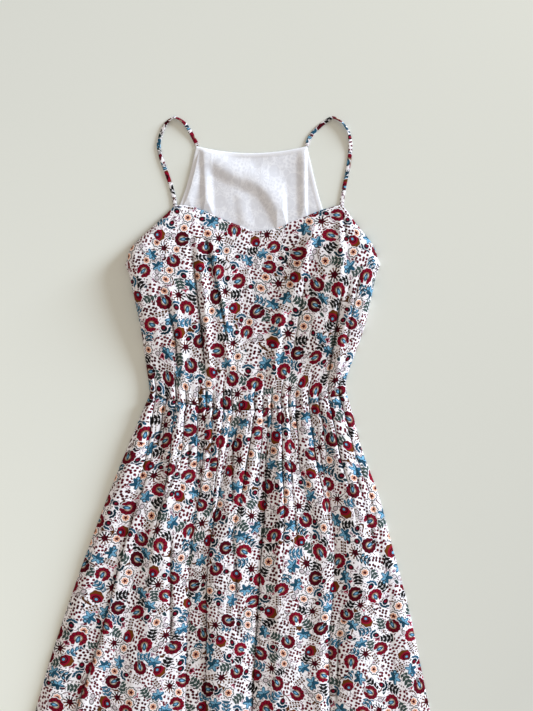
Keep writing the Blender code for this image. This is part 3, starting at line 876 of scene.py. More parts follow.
def cloth_coordinates(grid):
    """Places on the flat cloth, metres: measured along each row from its middle, and down."""
    extra = way_across(grid) - way_across(grid[..., :2])
    window = np.arange(-EVEN_ROWS, EVEN_ROWS + 1)
    near = np.clip(np.arange(len(grid))[:, None] + window[None, :], 0, len(grid) - 1)
    extra = PRINT_FOLLOWS * extra[near].mean(axis=1)
    middle = grid.shape[1] // 2
    across = grid[..., 0] + extra - extra[:, middle : middle + 1]
    return across * MM, grid[..., 1] * MM


def link(obj):
    """Puts an object into the scene."""
    bpy.context.scene.collection.objects.link(obj)
    return obj


def in_frame(points):
    """Points of the cut, millimetres, as places in the frame, metres."""
    return ((points + np.array(CUT_PLACE)) * MM).tolist()


def mesh_object(name, points, faces, material, cloth_places):
    """A smooth mesh in the frame, with its places on the flat cloth as its UV map."""
    mesh = bpy.data.meshes.new(name)
    mesh.from_pydata(in_frame(points), [], faces)
    layer = mesh.uv_layers.new(name="cloth")
    corners = np.empty(len(mesh.loops), np.int32)
    mesh.loops.foreach_get("vertex_index", corners)
    layer.data.foreach_set("uv", cloth_places[corners].ravel())
    mesh.materials.append(material)
    mesh.shade_smooth()
    mesh.update()
    return link(bpy.data.objects.new(name, mesh))


def add_attribute(obj, name, values):
    """Gives each point of a mesh a number that its material reads."""
    made = obj.data.attributes.new(name, "FLOAT", "POINT")
    made.data.foreach_set("value", values.ravel())


def grid_faces(rows, columns, upward):
    """The squares of a grid of points, turned up or down."""
    first = (np.arange(rows - 1)[:, None] * columns + np.arange(columns - 1)[None, :]).ravel()
    corners = (first, first + 1, first + columns + 1, first + columns)
    return np.stack(corners if upward else corners[::-1], axis=1).tolist()


def cloth_panel(name, grid, wall, material, upward, cut_from=(0.0, 0.0)):
    """A panel of cloth with its wall under its outer face, cut from its own place in the print."""
    rows, columns = grid.shape[:2]
    across, along = cloth_coordinates(grid)
    places = np.stack([across + cut_from[0], along + cut_from[1]], axis=-1).reshape(-1, 2)
    # Rows that run towards the hem turn the faces over
    towards_neck = grid[-1, 0, 1] > grid[0, 0, 1]
    faces = grid_faces(rows, columns, towards_neck == upward)
    obj = mesh_object(name, grid.reshape(-1, 3), faces, material, places)
    # How much shade is painted into the colour deep between the folds
    add_attribute(obj, "fold_shade", fold_shade(grid))
    solidify = obj.modifiers.new("wall", "SOLIDIFY")
    solidify.thickness = wall * MM
    solidify.offset = -1.0
    return obj


def bent(value, power):
    """A sine or cosine made squarer by a power below one."""
    return np.sign(value) * abs(value) ** power


def strap(name, stations, print_place, material):
    """A sewn tube swept through the stations and turned by their twist."""
    places = np.linspace(0, 1, STRAP_STATIONS)
    way = running_total(np.hypot(np.diff(column(stations, 0)), np.diff(column(stations, 1))))
    x, y, z, twist = (smooth_between(places, way / way[-1], column(stations, i)) for i in range(4))
    ahead_x, ahead_y = np.gradient(x), np.gradient(y)
    length = np.hypot(ahead_x, ahead_y)
    side = np.stack([ahead_y / length, -ahead_x / length, np.zeros_like(x)], axis=1)
    up = np.array([0.0, 0.0, 1.0])
    turn = np.radians(twist)[:, None]
    half, thin = 0.5 * STRAP_WIDTH, 0.5 * STRAP_THICKNESS
    # A turned tube stands on its edge and not in the ground
    z = np.maximum(z, half * np.abs(np.sin(turn[:, 0])) + thin * np.cos(turn[:, 0]))
    across = side * np.cos(turn) + up * np.sin(turn)
    out = up * np.cos(turn) - side * np.sin(turn)
    centres = np.stack([x, y, z], axis=1)
    run = places * way[-1]
    rings, labels = [], []
    for angle in np.linspace(0, 2 * math.pi, STRAP_CORNERS, endpoint=False):
        flat = bent(math.cos(angle), STRAP_SQUARENESS[0]) * half
        rise = bent(math.sin(angle), STRAP_SQUARENESS[1]) * thin
        rise = rise * (1 + STRAP_UNEVENNESS * uneven(run, 0 * run + 50 * angle, *STRAP_CRUMPLE))
        rings.append(centres + across * flat + out * rise[:, None])
        round_it = print_place + STRAP_GIRTH * angle / (2 * math.pi)
        labels.append(np.stack([round_it + 0 * run, run + STRAP_PRINT_START], axis=-1) * MM)
    points = np.stack(rings, axis=1).reshape(-1, 3)
    cloth_places = np.stack(labels, axis=1).reshape(-1, 2)
    faces = [tuple(range(STRAP_CORNERS))]
    for start in range(0, (STRAP_STATIONS - 1) * STRAP_CORNERS, STRAP_CORNERS):
        end = start + STRAP_CORNERS
        for corner in range(STRAP_CORNERS):
            after = (corner + 1) % STRAP_CORNERS
            faces.append((start + corner, end + corner, end + after, start + after))
    faces.append(tuple(range(len(points) - STRAP_CORNERS, len(points)))[::-1])
    return mesh_object(name, points, faces, material, cloth_places)


def linear(red, green, blue):
    """A colour as seen on screen, 0 to 255, as linear light."""
    shares = [value / 255 for value in (red, green, blue)]
    return tuple(s / 12.92 if s <= 0.04045 else ((s + 0.055) / 1.055) ** 2.4 for s in shares) + (1.0,)


def adds(operation):
    """A method of a value that adds one Math node."""
    return lambda value, *others: value.math(operation, *others)


class Value:
    """A number in a node tree. Arithmetic on it adds Math nodes."""

    def __init__(self, tree, socket):
        self.tree = tree
        self.socket = socket

    def math(self, operation, *others, clamp=False):
        inputs = dict(enumerate((self,) + others))
        made = self.tree.node("ShaderNodeMath", {"operation": operation, "use_clamp": clamp}, inputs)
        return Value(self.tree, made.outputs[0])

    def __rsub__(self, other):
        return self.math("MULTIPLY_ADD", -1.0, other)

    def __neg__(self):
        return self.math("MULTIPLY", -1.0)

    def times_plus(self, factor, added, clamp=False):
        """The number times a factor, plus another, in one node."""
        return self.math("MULTIPLY_ADD", factor, added, clamp=clamp)

    def is_number(self, number):
        """One where the number is this whole number, and zero elsewhere."""
        return self.math("COMPARE", number, 0.5)

    __add__ = adds("ADD")
    __sub__ = adds("SUBTRACT")
    __mul__ = adds("MULTIPLY")
    __truediv__ = adds("DIVIDE")
    __mod__ = adds("FLOORED_MODULO")
    __abs__ = adds("ABSOLUTE")
    cos = adds("COSINE")
    at_least = adds("MAXIMUM")
    at_most = adds("MINIMUM")
    above = adds("GREATER_THAN")


class Tree:
    """Adds nodes to a material or a node group."""

    def __init__(self, node_tree):
        self.nodes = node_tree.nodes
        self.links = node_tree.links

    def node(self, kind, settings=None, inputs=None):
        """A new node with its settings and with values or links on its inputs."""
        made = self.nodes.new(kind)
        for name, value in (settings or {}).items():
            setattr(made, name, value)
        for key, value in (inputs or {}).items():
            socket = made.inputs[key]
            if isinstance(value, Value):
                self.links.new(value.socket, socket)
            elif isinstance(value, bpy.types.NodeSocket):
                self.links.new(value, socket)
            else:
                socket.default_value = value
        return made

    def vector(self, operation, *inputs):
        made = self.node("ShaderNodeVectorMath", {"operation": operation}, dict(enumerate(inputs)))
        return made.outputs["Value" if operation == "LENGTH" else "Vector"]

    def parts(self, vector):
        made = self.node("ShaderNodeSeparateXYZ", {}, {0: vector})
        return [Value(self, made.outputs[i]) for i in range(3)]

    def joined(self, x, y):
        return self.node("ShaderNodeCombineXYZ", {}, {0: x, 1: y}).outputs[0]

    def length(self, vector):
        return Value(self, self.vector("LENGTH", vector))

    def distance(self, x, y):
        return self.length(self.joined(x, y))

    def mix(self, amount, base, colour):
        made = self.node("ShaderNodeMix", {"data_type": "RGBA"}, {0: amount, 6: base, 7: colour})
        return made.outputs[2]

    def turned(self, vector, angle):
        """A place turned in its plane."""
        spin = {"Vector": vector, "Angle": angle}
        return self.node("ShaderNodeVectorRotate", {"rotation_type": "Z_AXIS"}, spin).outputs[0]

    def cloth_place(self):
        return self.node("ShaderNodeUVMap", {"uv_map": "cloth"}).outputs[0]

    def object_place(self):
        return self.node("ShaderNodeTexCoord").outputs["Object"]

    def attribute(self, name):
        return Value(self, self.node("ShaderNodeAttribute", {"attribute_name": name}).outputs["Fac"])

    def noise(self, vector, scale, detail=0.0):
        settings = {"noise_dimensions": "2D"}
        made = self.node("ShaderNodeTexNoise", settings, {"Vector": vector, "Scale": scale, "Detail": detail})
        return Value(self, made.outputs["Fac"])


# Dye colours of the print
GROUND = linear(241, 238, 241)
BURGUNDY = linear(68, 2, 16)
WINE = linear(94, 6, 28)
CRIMSON = linear(132, 12, 38)
ROSE = linear(168, 56, 82)
DARK_RED = linear(36, 2, 8)
OLIVE = linear(100, 52, 14)
SKY = linear(110, 162, 192)
MID_BLUE = linear(42, 92, 120)
TEAL = linear(24, 62, 80)
DARK_TEAL = linear(12, 32, 42)
PEACH = linear(226, 172, 144)
TAN = linear(178, 140, 102)
GREY = linear(76, 72, 68)
DARK_GREY = linear(20, 18, 18)
GREY_GREEN = linear(56, 72, 68)
MAUVE = linear(132, 98, 114)
BROWN = linear(82, 44, 14)

# Fine relief of cloth: noise scale and detail, and height in metres
WEAVE = (1900.0, 1.0, 0.00005)
CREASED = (90.0, 3.0, 0.0009)
CLOTH_RELIEF = 0.6
LINING_RELIEF = 0.3

# Other colours; the first is shade painted into the cloth deep between its folds
PAINTED_FOLD_SHADE = linear(24, 16, 18)
LINING_WHITE = linear(236, 236, 240)
BAND_WHITE = linear(231, 231, 235)
GHOST_GREY = linear(112, 116, 136)
THREAD_DARK = linear(222, 216, 216)
THREAD_LIGHT = linear(240, 236, 236)
FLOOR_DARK = linear(216, 217, 209)
FLOOR_LIGHT = linear(233, 234, 224)

# The print's repeats and the clear margin round a motif, millimetres
PITCH = 40.0
SMALL_PITCH = 20.0
MARGIN = 0.9

# Berries: repeat and radius in millimetres, and unevenness
BERRY_DOTS = (5.9, 2.2, 0.6)

# How the print is turned on the cloth, radians, and how far it wanders, metres
PRINT_BIAS = 0.32
PRINT_DRIFT = 0.03

# Softness of a motif's edge in millimetres, on the cloth and seen through the lining
PRINT_EDGE = 0.5
GHOST_EDGE = 1.4


class Cell:
    """One square of a layout: a motif's own axes, distance and angle, and its random draws."""

    def __init__(self, tree, place, pitch, offset, seed, wobble, step):
        grid = tree.vector("MULTIPLY_ADD", place, (1 / pitch, 1 / pitch, 0.0), offset + (0.0,))
        index = tree.vector("FLOOR", grid)
        local = tree.vector("FRACTION", grid)
        local = tree.vector("MULTIPLY_ADD", local, (pitch, pitch, 0.0), (-pitch / 2, -pitch / 2, 0.0))
        seeded = tree.vector("ADD", index, (0.5, 0.5, seed))
        drawn = tree.node("ShaderNodeTexWhiteNoise", {"noise_dimensions": "3D"}, {"Vector": seeded})
        half = wobble / 2
        shift = (drawn.outputs["Color"], (-wobble, -wobble, 0.0), (half, half, 0.0))
        moved = tree.vector("ADD", local, tree.vector("MULTIPLY_ADD", *shift))
        self.chance = Value(tree, drawn.outputs["Value"])
        turned = tree.turned(moved, self.chance * (2 * math.pi))
        self.x, self.y = tree.parts(turned)[:2]
        self.radius = tree.length(turned)
        self.angle = self.y.math("ARCTAN2", self.x)
        self.column_at, self.row_at = tree.parts(index)[:2]
        self.draw = tree.parts(drawn.outputs["Color"])[2]
        self.step = step

    def kind(self, count):
        """Which of the layer's motifs is here: drawn, or else in turn, shifted by a step each row."""
        if self.step is None:
            return self.draw.times_plus(count, -0.5)
        return self.row_at.times_plus(self.step, self.column_at) % count


class Print:
    """Paints motifs over one another. Distances are in millimetres and negative inside a shape."""

    def __init__(self, tree, place, edge):
        self.tree = tree
        self.place = place
        self.sharp = -1.0 / edge

    def inside(self, distance):
        """One inside a shape and zero outside, with a soft edge."""
        return distance.times_plus(self.sharp, 0.5, clamp=True)

    def paint(self, base, distance, dye):
        """Lays a shape in one dye over what is there."""
        return self.tree.mix(self.inside(distance), base, dye)

    def motif(self, base, edge, *shapes):
        """Shapes painted over one another, on ground that is clear inside and close round an edge."""
        colour = self.paint(base, edge - MARGIN, GROUND)
        for distance, dye in shapes:
            colour = self.paint(colour, distance, dye)
        return colour

    def layer(self, base, layout, motifs):
        """Adds one motif in each square of a layout."""
        cell = Cell(self.tree, self.place, *layout)
        kind = cell.kind(float(len(motifs)))
        for number, motif in enumerate(motifs):
            if motif:
                base = self.tree.mix(kind.is_number(float(number)), base, motif(self, cell, base))
        return base

    def leaf_pairs(self, cell, pitch, long, wide, reach):
        """Pairs of leaves that slant forward from a stem."""
        tree = self.tree
        step = (cell.x / pitch) % 1.0
        along = step.times_plus(pitch, -0.62 * pitch)
        out = abs(cell.y).times_plus(1.0, -0.72 * long)
        slanted = along.times_plus(0.707 / long, out * (0.707 / long))
        crosswise = out.times_plus(0.707 / wide, along * (-0.707 / wide))
        leaf = tree.distance(slanted, crosswise).times_plus(wide, -wide)
        stem = abs(cell.y) - 0.4
        return leaf.at_most(stem).at_least(abs(cell.x) - reach)


# Motifs. Their measures are millimetres, and each is painted from its clear margin up


def ring_flower(pen, cell, base):
    """An open ring round a blue heart, with a dark cap on some."""
    tree = pen.tree
    petals = (cell.angle * 11.0).cos()
    edge = cell.radius - petals.times_plus(0.5, 12.3)
    open_side = (abs(cell.y) - 2.8).at_least(-cell.x)
    ring = edge.at_least(5.6 - cell.radius).at_least(-open_side)
    heart = (abs(cell.radius - 4.9) - 0.4).at_least(-open_side)
    core = tree.distance(cell.x.times_plus(0.5, -1.0), cell.y)
    cap = tree.distance(cell.x.times_plus(0.7, -6.6), cell.y) - 2.8
    return pen.motif(
        base,
        edge,
        (ring, tree.mix(cell.chance, CRIMSON, BURGUNDY)),
        ((petals + 0.8).at_least(ring + 0.6), DARK_RED),
        (heart - 0.6, GREY),
        (heart, TAN),
        (core - 3.1, DARK_TEAL),
        (core - 2.4, MID_BLUE),
        (core - 1.3, SKY),
        (cap.at_least(0.5 - cell.chance), DARK_GREY),
    )


def round_flower(pen, cell, base):
    """A round flower with an olive rim and a blue spot off its middle."""
    petals = cell.radius + (cell.angle * 7.0).cos() * 0.55 - 9.8
    rim = (cell.radius * 0.8 + cell.x).times_plus(-1.0, 7.8).at_least(petals)
    spot = pen.tree.distance(cell.x + 4.8, cell.y)
    stem = (abs(cell.y) - 0.5).at_least(abs(cell.x + 12.5) - 4.0)
    return pen.motif(
        base,
        petals,
        (petals, CRIMSON),
        (rim, OLIVE),
        (abs(spot - 5.4) - 0.8, DARK_RED),
        (spot - 3.2, DARK_TEAL),
        (spot - 2.1, SKY),
        (stem, DARK_GREY),
    )


def daisy(pen, cell, base):
    """A pale flower with scalloped petals and a dark star."""
    scallops = (cell.angle * 8.0).cos()
    edge = cell.radius - scallops.times_plus(0.7, 9.0)
    rim = abs(edge + 0.9) - 0.95
    middle = cell.radius - scallops.times_plus(0.8, 5.6)
    star = cell.radius - (cell.angle * 5.0).cos().times_plus(0.9, 2.8)
    return pen.motif(base, edge, (rim, GREY), (middle, PEACH), (star, BURGUNDY))


def spiky_flower(pen, cell, base):
    """A dark heart in a burst of rays."""
    tree = pen.tree
    rays = (cell.angle * 11.0).cos() * -1.6
    burst = rays.at_least(abs(cell.radius - 7.2) - 3.0)
    two_dyes = tree.mix(pen.inside(cell.y), OLIVE, DARK_GREY)
    heart = cell.radius + (cell.angle * 5.0).cos() * 1.1 - 5.3
    spot = tree.distance(cell.x + 1.4, cell.y) - 1.6
    return pen.motif(base, cell.radius - 9.6, (burst, two_dyes), (heart, BURGUNDY), (spot, DARK_RED))


def blue_cluster(pen, cell, base):
    """Five blue petals with dark veins and a berry."""
    tree = pen.tree
    edge = cell.radius - (cell.angle * 5.0).cos().times_plus(2.8, 8.2)
    veins = abs((cell.angle * 2.5).cos()) * cell.radius - 0.6
    berry = tree.distance(cell.x + 9.4, cell.y) - 3.5
    return pen.motif(
        base,
        edge,
        (edge, tree.mix(cell.chance, TEAL, MID_BLUE)),
        ((edge + 2.2).at_least(-cell.y), SKY),
        (veins.at_least(edge + 0.5), DARK_TEAL),
        (berry, TEAL),
        (berry + 1.7, SKY),
    )


def blue_sprig(pen, cell, base):
    """Pairs of blue leaves."""
    leaves = pen.leaf_pairs(cell, 6.6, 5.8, 2.7, 11.0)
    dye = pen.tree.mix(cell.chance, DARK_TEAL, MID_BLUE)
    return pen.motif(base, leaves, (leaves, dye), (leaves + 1.7, SKY))


def leaf_spray(pen, cell, base):
    """Pairs of dark leaves."""
    leaves = pen.leaf_pairs(cell, 6.0, 5.4, 2.6, 10.0)
    dye = pen.tree.mix(cell.draw.above(0.4), GREY_GREEN, DARK_GREY)
    return pen.motif(base, leaves, (leaves, dye))


def berries(dye, long, wide):
    """The motif of an oval patch of berries in one dye."""

    def motif(pen, cell, base):
        region = pen.tree.distance(cell.x * (1 / long), cell.y * (1 / wide)).times_plus(wide, -wide)
        return pen.motif(base, region, (pen.dots.at_least(region - 1.2), dye))

    return motif


def tulip(pen, cell, base):
    """A small bud with a dark crown on a stem."""
    middle = pen.tree.distance(cell.x * 0.8, cell.y)
    bud = middle - 4.3
    crown = (middle - 4.6).at_least(0.6 - cell.x)
    stem = (abs(cell.y) - 0.5).at_least(abs(cell.x + 7.5) - 4.0)
    parts = ((bud, BURGUNDY), (crown, DARK_TEAL), (middle - 1.5, CRIMSON), (stem, DARK_GREY))
    return pen.motif(base, bud, *parts)


def scalloped_arc(pen, cell, base):
    """An arc of blue scallops round a tulip."""
    band = abs(cell.radius - (cell.angle * 13.0).cos().times_plus(0.5, 8.4)) - 2.1
    band = band.at_least(3.4 - cell.x)
    colour = pen.motif(base, band, (band, pen.tree.mix(cell.chance, DARK_TEAL, MID_BLUE)))
    return tulip(pen, cell, colour)


def outlined_leaves(pen, cell, base):
    """Two outlined leaves with slanting veins."""
    leaf = pen.tree.distance(abs(cell.x) - 5.2, cell.y * 1.25)
    outline = abs(leaf - 4.2) - 0.8
    veins = abs(((cell.x + cell.y) / 2.4) % 1.0 - 0.5) * 2.4 - 0.6
    return pen.motif(base, leaf - 5.0, (outline, GREY), (veins.at_least(leaf - 3.4), MAUVE))


def twig(pen, cell, base):
    """A brown stem with berries on both sides."""
    step = abs(((cell.x / 4.6) % 1.0).times_plus(4.6, -2.3))
    berry = pen.tree.distance(step, abs(cell.y) - 2.9) - 1.9
    shape = berry.at_most(abs(cell.y) - 0.5).at_least(abs(cell.x) - 9.0)
    return pen.motif(base, shape, (shape, BROWN))


def small_flower(pen, cell, base):
    """Five small petals round a dark middle."""
    petals = cell.radius - (cell.angle * 5.0).cos().times_plus(1.2, 5.0)
    dye = pen.tree.mix(cell.chance, MAUVE, ROSE)
    return pen.motif(base, petals, (petals, dye), (cell.radius - 2.5, BURGUNDY))


def small_leaf(pen, cell, base):
    """One leaf with a vein."""
    leaf = pen.tree.distance(cell.x * 0.45, cell.y) - 2.6
    vein = (abs(cell.y) - 0.45).at_least(leaf)
    dye = pen.tree.mix(cell.chance, GREY_GREEN, TEAL)
    return pen.motif(base, leaf, (leaf, dye), (vein, DARK_GREY))


def dotted(tree, place, pitch, radius, randomness):
    """Distance to the nearest of many dots."""
    cells = {"Vector": place, "Scale": 1 / pitch, "Randomness": randomness}
    made = tree.node("ShaderNodeTexVoronoi", {"voronoi_dimensions": "2D"}, cells)
    return Value(tree, made.outputs["Distance"]).times_plus(pitch, -radius)


def background_marks(tree, pen, place):
    """Specks, feathery lines and thin stems that fill the ground between motifs."""
    patches = tree.noise(place, 1 / 24.0)
    specks = dotted(tree, place, 4.6, 1.25, 0.7).at_least((patches - 0.49) * 20.0)
    colour = pen.paint(GROUND, specks, BURGUNDY)
    lines = tree.noise(place, 1 / 6.0, 1.0)
    feathers = abs(lines - 0.5) * 17.0 - 0.9
    feathers = feathers.at_least((0.59 - patches) * 20.0)
    colour = pen.paint(colour, feathers, MAUVE)
    paths = tree.noise(place, 1 / 48.0, 1.0)
    stems = abs(paths - 0.5) * 62.0 - 0.75
    return pen.paint(colour, stems, BROWN)


PRINT_LAYERS = (
    # repeat, offset, seed, wobble, step between rows or none where drawn, and then the motifs
    (
        (SMALL_PITCH, (0.3, 0.7), 5.0, 7.0, None),
        (small_flower, small_leaf, berries(WINE, 8.0, 6.0), tulip, None),
    ),
    (
        (PITCH, (0.5, 0.0), 7.0, 7.0, None),
        (leaf_spray, outlined_leaves, berries(WINE, 11.0, 8.0), scalloped_arc),
    ),
    (
        (PITCH, (0.0, 0.5), 13.0, 7.0, None),
        (daisy, blue_sprig, twig, leaf_spray),
    ),
    (
        (PITCH, (0.5, 0.5), 19.0, 7.0, 3.0),
        (berries(BURGUNDY, 13.0, 9.0), blue_cluster, scalloped_arc, berries(WINE, 12.0, 9.0), spiky_flower),
    ),
    (
        (PITCH, (0.0, 0.0), 3.0, 9.0, 2.0),
        (ring_flower, daisy, blue_cluster, ring_flower, round_flower, ring_flower),
    ),
)


def flower_print(name, edge):
    """The print as a node group: place on the cloth in metres, to its colour."""
    group = bpy.data.node_groups.new(name, "ShaderNodeTree")
    group.interface.new_socket("Place", in_out="INPUT", socket_type="NodeSocketVector")
    group.interface.new_socket("Color", in_out="OUTPUT", socket_type="NodeSocketColor")
    tree = Tree(group)
    turned = tree.turned(tree.node("NodeGroupInput").outputs[0], PRINT_BIAS)
    drift = tree.node("ShaderNodeTexNoise", {"noise_dimensions": "2D"}, {"Vector": turned, "Scale": 6.0})
    turned = tree.vector("MULTIPLY_ADD", drift.outputs["Color"], (PRINT_DRIFT, PRINT_DRIFT, 0.0), turned)
    place = tree.vector("MULTIPLY", turned, (1 / MM, 1 / MM, 0.0))
    pen = Print(tree, place, edge)
    colour = background_marks(tree, pen, place)
    pen.dots = dotted(tree, place, *BERRY_DOTS)
    for layout, motifs in PRINT_LAYERS:
        colour = pen.layer(colour, layout, motifs)
    tree.node("NodeGroupOutput", {}, {0: colour})
    return group


def weave_bump(tree, place, strength):
    """Fine threads and slight crumple of thin cloth."""
    threads = tree.noise(place, *WEAVE[:2])
    creased = tree.noise(place, *CREASED[:2])
    height = threads * WEAVE[2] + creased * CREASED[2]
    bump = tree.node("ShaderNodeBump", {}, {"Strength": strength, "Distance": 1.0, "Height": height})
    return bump.outputs[0]


def new_material(name, looks):
    """A material with its shader's plain inputs set, its nodes, and its shader's inputs."""
    material = bpy.data.materials.new(name)
    material.use_nodes = True
    inputs = material.node_tree.nodes["Principled BSDF"].inputs
    for key, value in looks.items():
        inputs[key].default_value = value
    return material, Tree(material.node_tree), inputs


def cloth_material(name, group):
    """Matt printed cotton, with shade painted into its colour deep between its folds."""
    looks = {"Roughness": 0.9, "Sheen Weight": 0.02, "Specular IOR Level": 0.08}
    material, tree, inputs = new_material(name, looks)
    place = tree.cloth_place()
    dyed = tree.node("ShaderNodeGroup", {"node_tree": group}, {0: place})
    # Painted shade: the print is darkened where the cloth lies deep between its folds
    colour = tree.mix(tree.attribute("fold_shade") * SHADE_WEIGHT, dyed.outputs[0], PAINTED_FOLD_SHADE)
    tree.links.new(colour, inputs["Base Color"])
    tree.links.new(weave_bump(tree, place, CLOTH_RELIEF), inputs["Normal"])
    return material


def lining_material(ghost):
    """Thin white cotton that lets the print behind it through, but not at its doubled band."""
    material, tree, inputs = new_material("back_lining_white", {"Roughness": 0.9, "Sheen Weight": 0.1})
    place = tree.cloth_place()
    print_behind = tree.node("ShaderNodeGroup", {"node_tree": ghost}, {0: place}).outputs[0]
    grey = tree.node("ShaderNodeRGBToBW", {}, {0: print_behind}).outputs[0]
    shows = Value(tree, grey).times_plus(-GHOST_WEIGHT, GHOST_WEIGHT, clamp=True)
    single = tree.mix(shows, LINING_WHITE, GHOST_GREY)
    colour = tree.mix(tree.attribute("band"), single, BAND_WHITE)
    tree.links.new(colour, inputs["Base Color"])
    tree.links.new(weave_bump(tree, place, LINING_RELIEF), inputs["Normal"])
    return material


def thread_material():
    """Off-white sewing thread."""
    material, tree, inputs = new_material("sewing_thread", {"Roughness": 0.7})
    twist = tree.noise(tree.object_place(), 900.0)
    tree.links.new(tree.mix(twist, THREAD_DARK, THREAD_LIGHT), inputs["Base Color"])
    return material


def floor_material():
    """Pale smooth ground with soft cloudy patches, and painted light that makes it lighter towards two of its
    corners.
    """
    material, tree, inputs = new_material("pale_ground", {"Roughness": 0.9, "Specular IOR Level": 0.1})
    place = tree.object_place()
    x, y = tree.parts(place)[:2]
    # Painted light: the ground is lighter towards the upper right and lower left, and darker towards the
    # other corners
    painted_light_slant = (x - 0.06) * (y - 0.4) * 1.5
    cloudy = tree.noise(place, 2.2, 2.0).times_plus(0.12, painted_light_slant + 0.44, clamp=True)
    tree.links.new(tree.mix(cloudy, FLOOR_DARK, FLOOR_LIGHT), inputs["Base Color"])
    return material


def make_floor():
    """The plain surface under the dress."""
    corners = [(x * FLOOR_HALF, y * FLOOR_HALF, FLOOR_Z) for x, y in ((-1, -1), (1, -1), (1, 1), (-1, 1))]
    mesh = bpy.data.meshes.new("ground")
    mesh.from_pydata(corners, [], [(0, 1, 2, 3)])
    mesh.materials.append(floor_material())
    floor = link(bpy.data.objects.new("ground", mesh))


def make_camera():
    """The camera straight above, as in the photo."""
    data = bpy.data.cameras.new("camera")
    data.sensor_width = SENSOR
    data.sensor_fit = "AUTO"
    data.lens = SENSOR * CAMERA_HEIGHT / VIEW_LENGTH
    camera = link(bpy.data.objects.new("camera", data))
    camera.location = (VIEW_CENTRE[0], VIEW_CENTRE[1], CAMERA_HEIGHT)
    bpy.context.scene.camera = camera


def make_light():
    """Low soft daylight from the upper right, and warm light from the whole room."""
    world = bpy.data.worlds.new("room")
    bpy.context.scene.world = world
    world.use_nodes = True
    background = world.node_tree.nodes["Background"]
    background.inputs["Color"].default_value = ROOM_LIGHT + (1.0,)
    background.inputs["Strength"].default_value = 1.0
    data = bpy.data.lights.new("window", "SUN")
    data.energy = WINDOW_STRENGTH
    data.angle = math.radians(WINDOW_SPREAD)
    data.color = WINDOW_LIGHT
    window = link(bpy.data.objects.new("window", data))
    heading, height = math.radians(WINDOW_HEADING), math.radians(WINDOW_HEIGHT)
    flat = math.cos(height)
    towards = Vector((math.cos(heading) * flat, math.sin(heading) * flat, math.sin(height)))
    window.rotation_euler = towards.to_track_quat("Z", "Y").to_euler()


def stitch_tree(material):
    """Geometry nodes that lay a row of small stitches along a path."""
    group = bpy.data.node_groups.new("row_of_stitches", "GeometryNodeTree")
    face = group.interface
    face.new_socket("Path", in_out="INPUT", socket_type="NodeSocketGeometry")
    for name in ("Spacing", "Stitch", "Thread"):
        face.new_socket(name, in_out="INPUT", socket_type="NodeSocketFloat")
    face.new_socket("Seam", in_out="OUTPUT", socket_type="NodeSocketGeometry")
    tree = Tree(group)
    path, spacing, stitch, thread = tree.node("NodeGroupInput").outputs[:4]
    curve = tree.node("GeometryNodeMeshToCurve", {}, {"Mesh": path}).outputs[0]
    points = tree.node("GeometryNodeCurveToPoints", {"mode": "LENGTH"}, {"Curve": curve, "Length": spacing})
    along = {"Vector": points.outputs["Tangent"]}
    turned = tree.node("FunctionNodeAlignRotationToVector", {"axis": "X"}, along).outputs[0]
    uneven_length = tree.node("FunctionNodeRandomValue", {"data_type": "FLOAT"}, {2: 0.85, 3: 1.1, "Seed": 5})
    long = Value(tree, stitch) * uneven_length.outputs[1]
    size = tree.node("ShaderNodeCombineXYZ", {}, {0: long, 1: thread, 2: thread}).outputs[0]
    bead = tree.node("GeometryNodeMeshUVSphere", {}, {"Segments": 6, "Rings": 4, "Radius": 0.5}).outputs[0]
    placed = {"Points": points.outputs["Points"], "Instance": bead, "Rotation": turned, "Scale": size}
    row = tree.node("GeometryNodeInstanceOnPoints", {}, placed).outputs[0]
    real = tree.node("GeometryNodeRealizeInstances", {}, {0: row}).outputs[0]
    dyed = tree.node("GeometryNodeSetMaterial", {}, {"Geometry": real, "Material": material}).outputs[0]
    tree.node("NodeGroupOutput", {}, {0: dyed})
    return group


def stitches(name, group, paths):
    """One mesh with the stitches of several seams, each along its own path."""
    edges, start = [], 0
    for path in paths:
        edges += [(start + step, start + step + 1) for step in range(len(path) - 1)]
        start += len(path)
    mesh = bpy.data.meshes.new(name)
    mesh.from_pydata(in_frame(np.concatenate(paths)), edges, [])
    seam = link(bpy.data.objects.new(name, mesh))
    modifier = seam.modifiers.new("stitches", "NODES")
    modifier.node_group = group
    sizes = {"Spacing": STITCH_SPACING, "Stitch": STITCH_SHARE * STITCH_SPACING, "Thread": THREAD}
    for socket in group.interface.items_tree:
        if socket.name in sizes:
            modifier[socket.identifier] = sizes[socket.name] * MM
    seam.update_tag()
    ready = seam.evaluated_get(bpy.context.evaluated_depsgraph_get())
    made = bpy.data.meshes.new_from_object(ready)
    seam.modifiers.remove(modifier)
    seam.data = made
    made.shade_smooth()
    return seam


def path_on(plan, height, margin, along):
    """Points along a seam, just above the cloth, from one side's margin to the other's."""
    across = np.atleast_2d(margin + (1 - 2 * margin) * np.linspace(0, 1, STITCH_POINTS))
    along = np.full_like(across, along)
    x, y = plan(across, along)
    return np.stack([x, y, height(across, along) + THREAD_LIFT], axis=-1).reshape(-1, 3)


def crossing(line, at, axis):
    """The point where a line of the grid crosses a value on one axis."""
    return [np.interp(at, line[:, axis], line[:, i]) for i in range(3)]


def band_paths(grid):
    """The lining's stitch rows, inside its two sides and its top edge."""
    row_end, line_end = BAND_STITCH_ENDS
    rows = grid[LINING_ROWS[0][1] : -row_end]
    lines = np.swapaxes(grid, 0, 1)[line_end:-line_end]
    left = [crossing(row, row[0, 0] + BAND_STITCH, 0) for row in rows]
    right = [crossing(row, row[-1, 0] - BAND_STITCH, 0) for row in rows]
    top = [crossing(line, line[-1, 1] - BAND_STITCH, 1) for line in lines]
    return [np.array(path) + (0.0, 0.0, THREAD_LIFT) for path in (left, right, top)]


def even_shares(count):
    """Even shares from 0 to 1."""
    return np.linspace(0, 1, count)


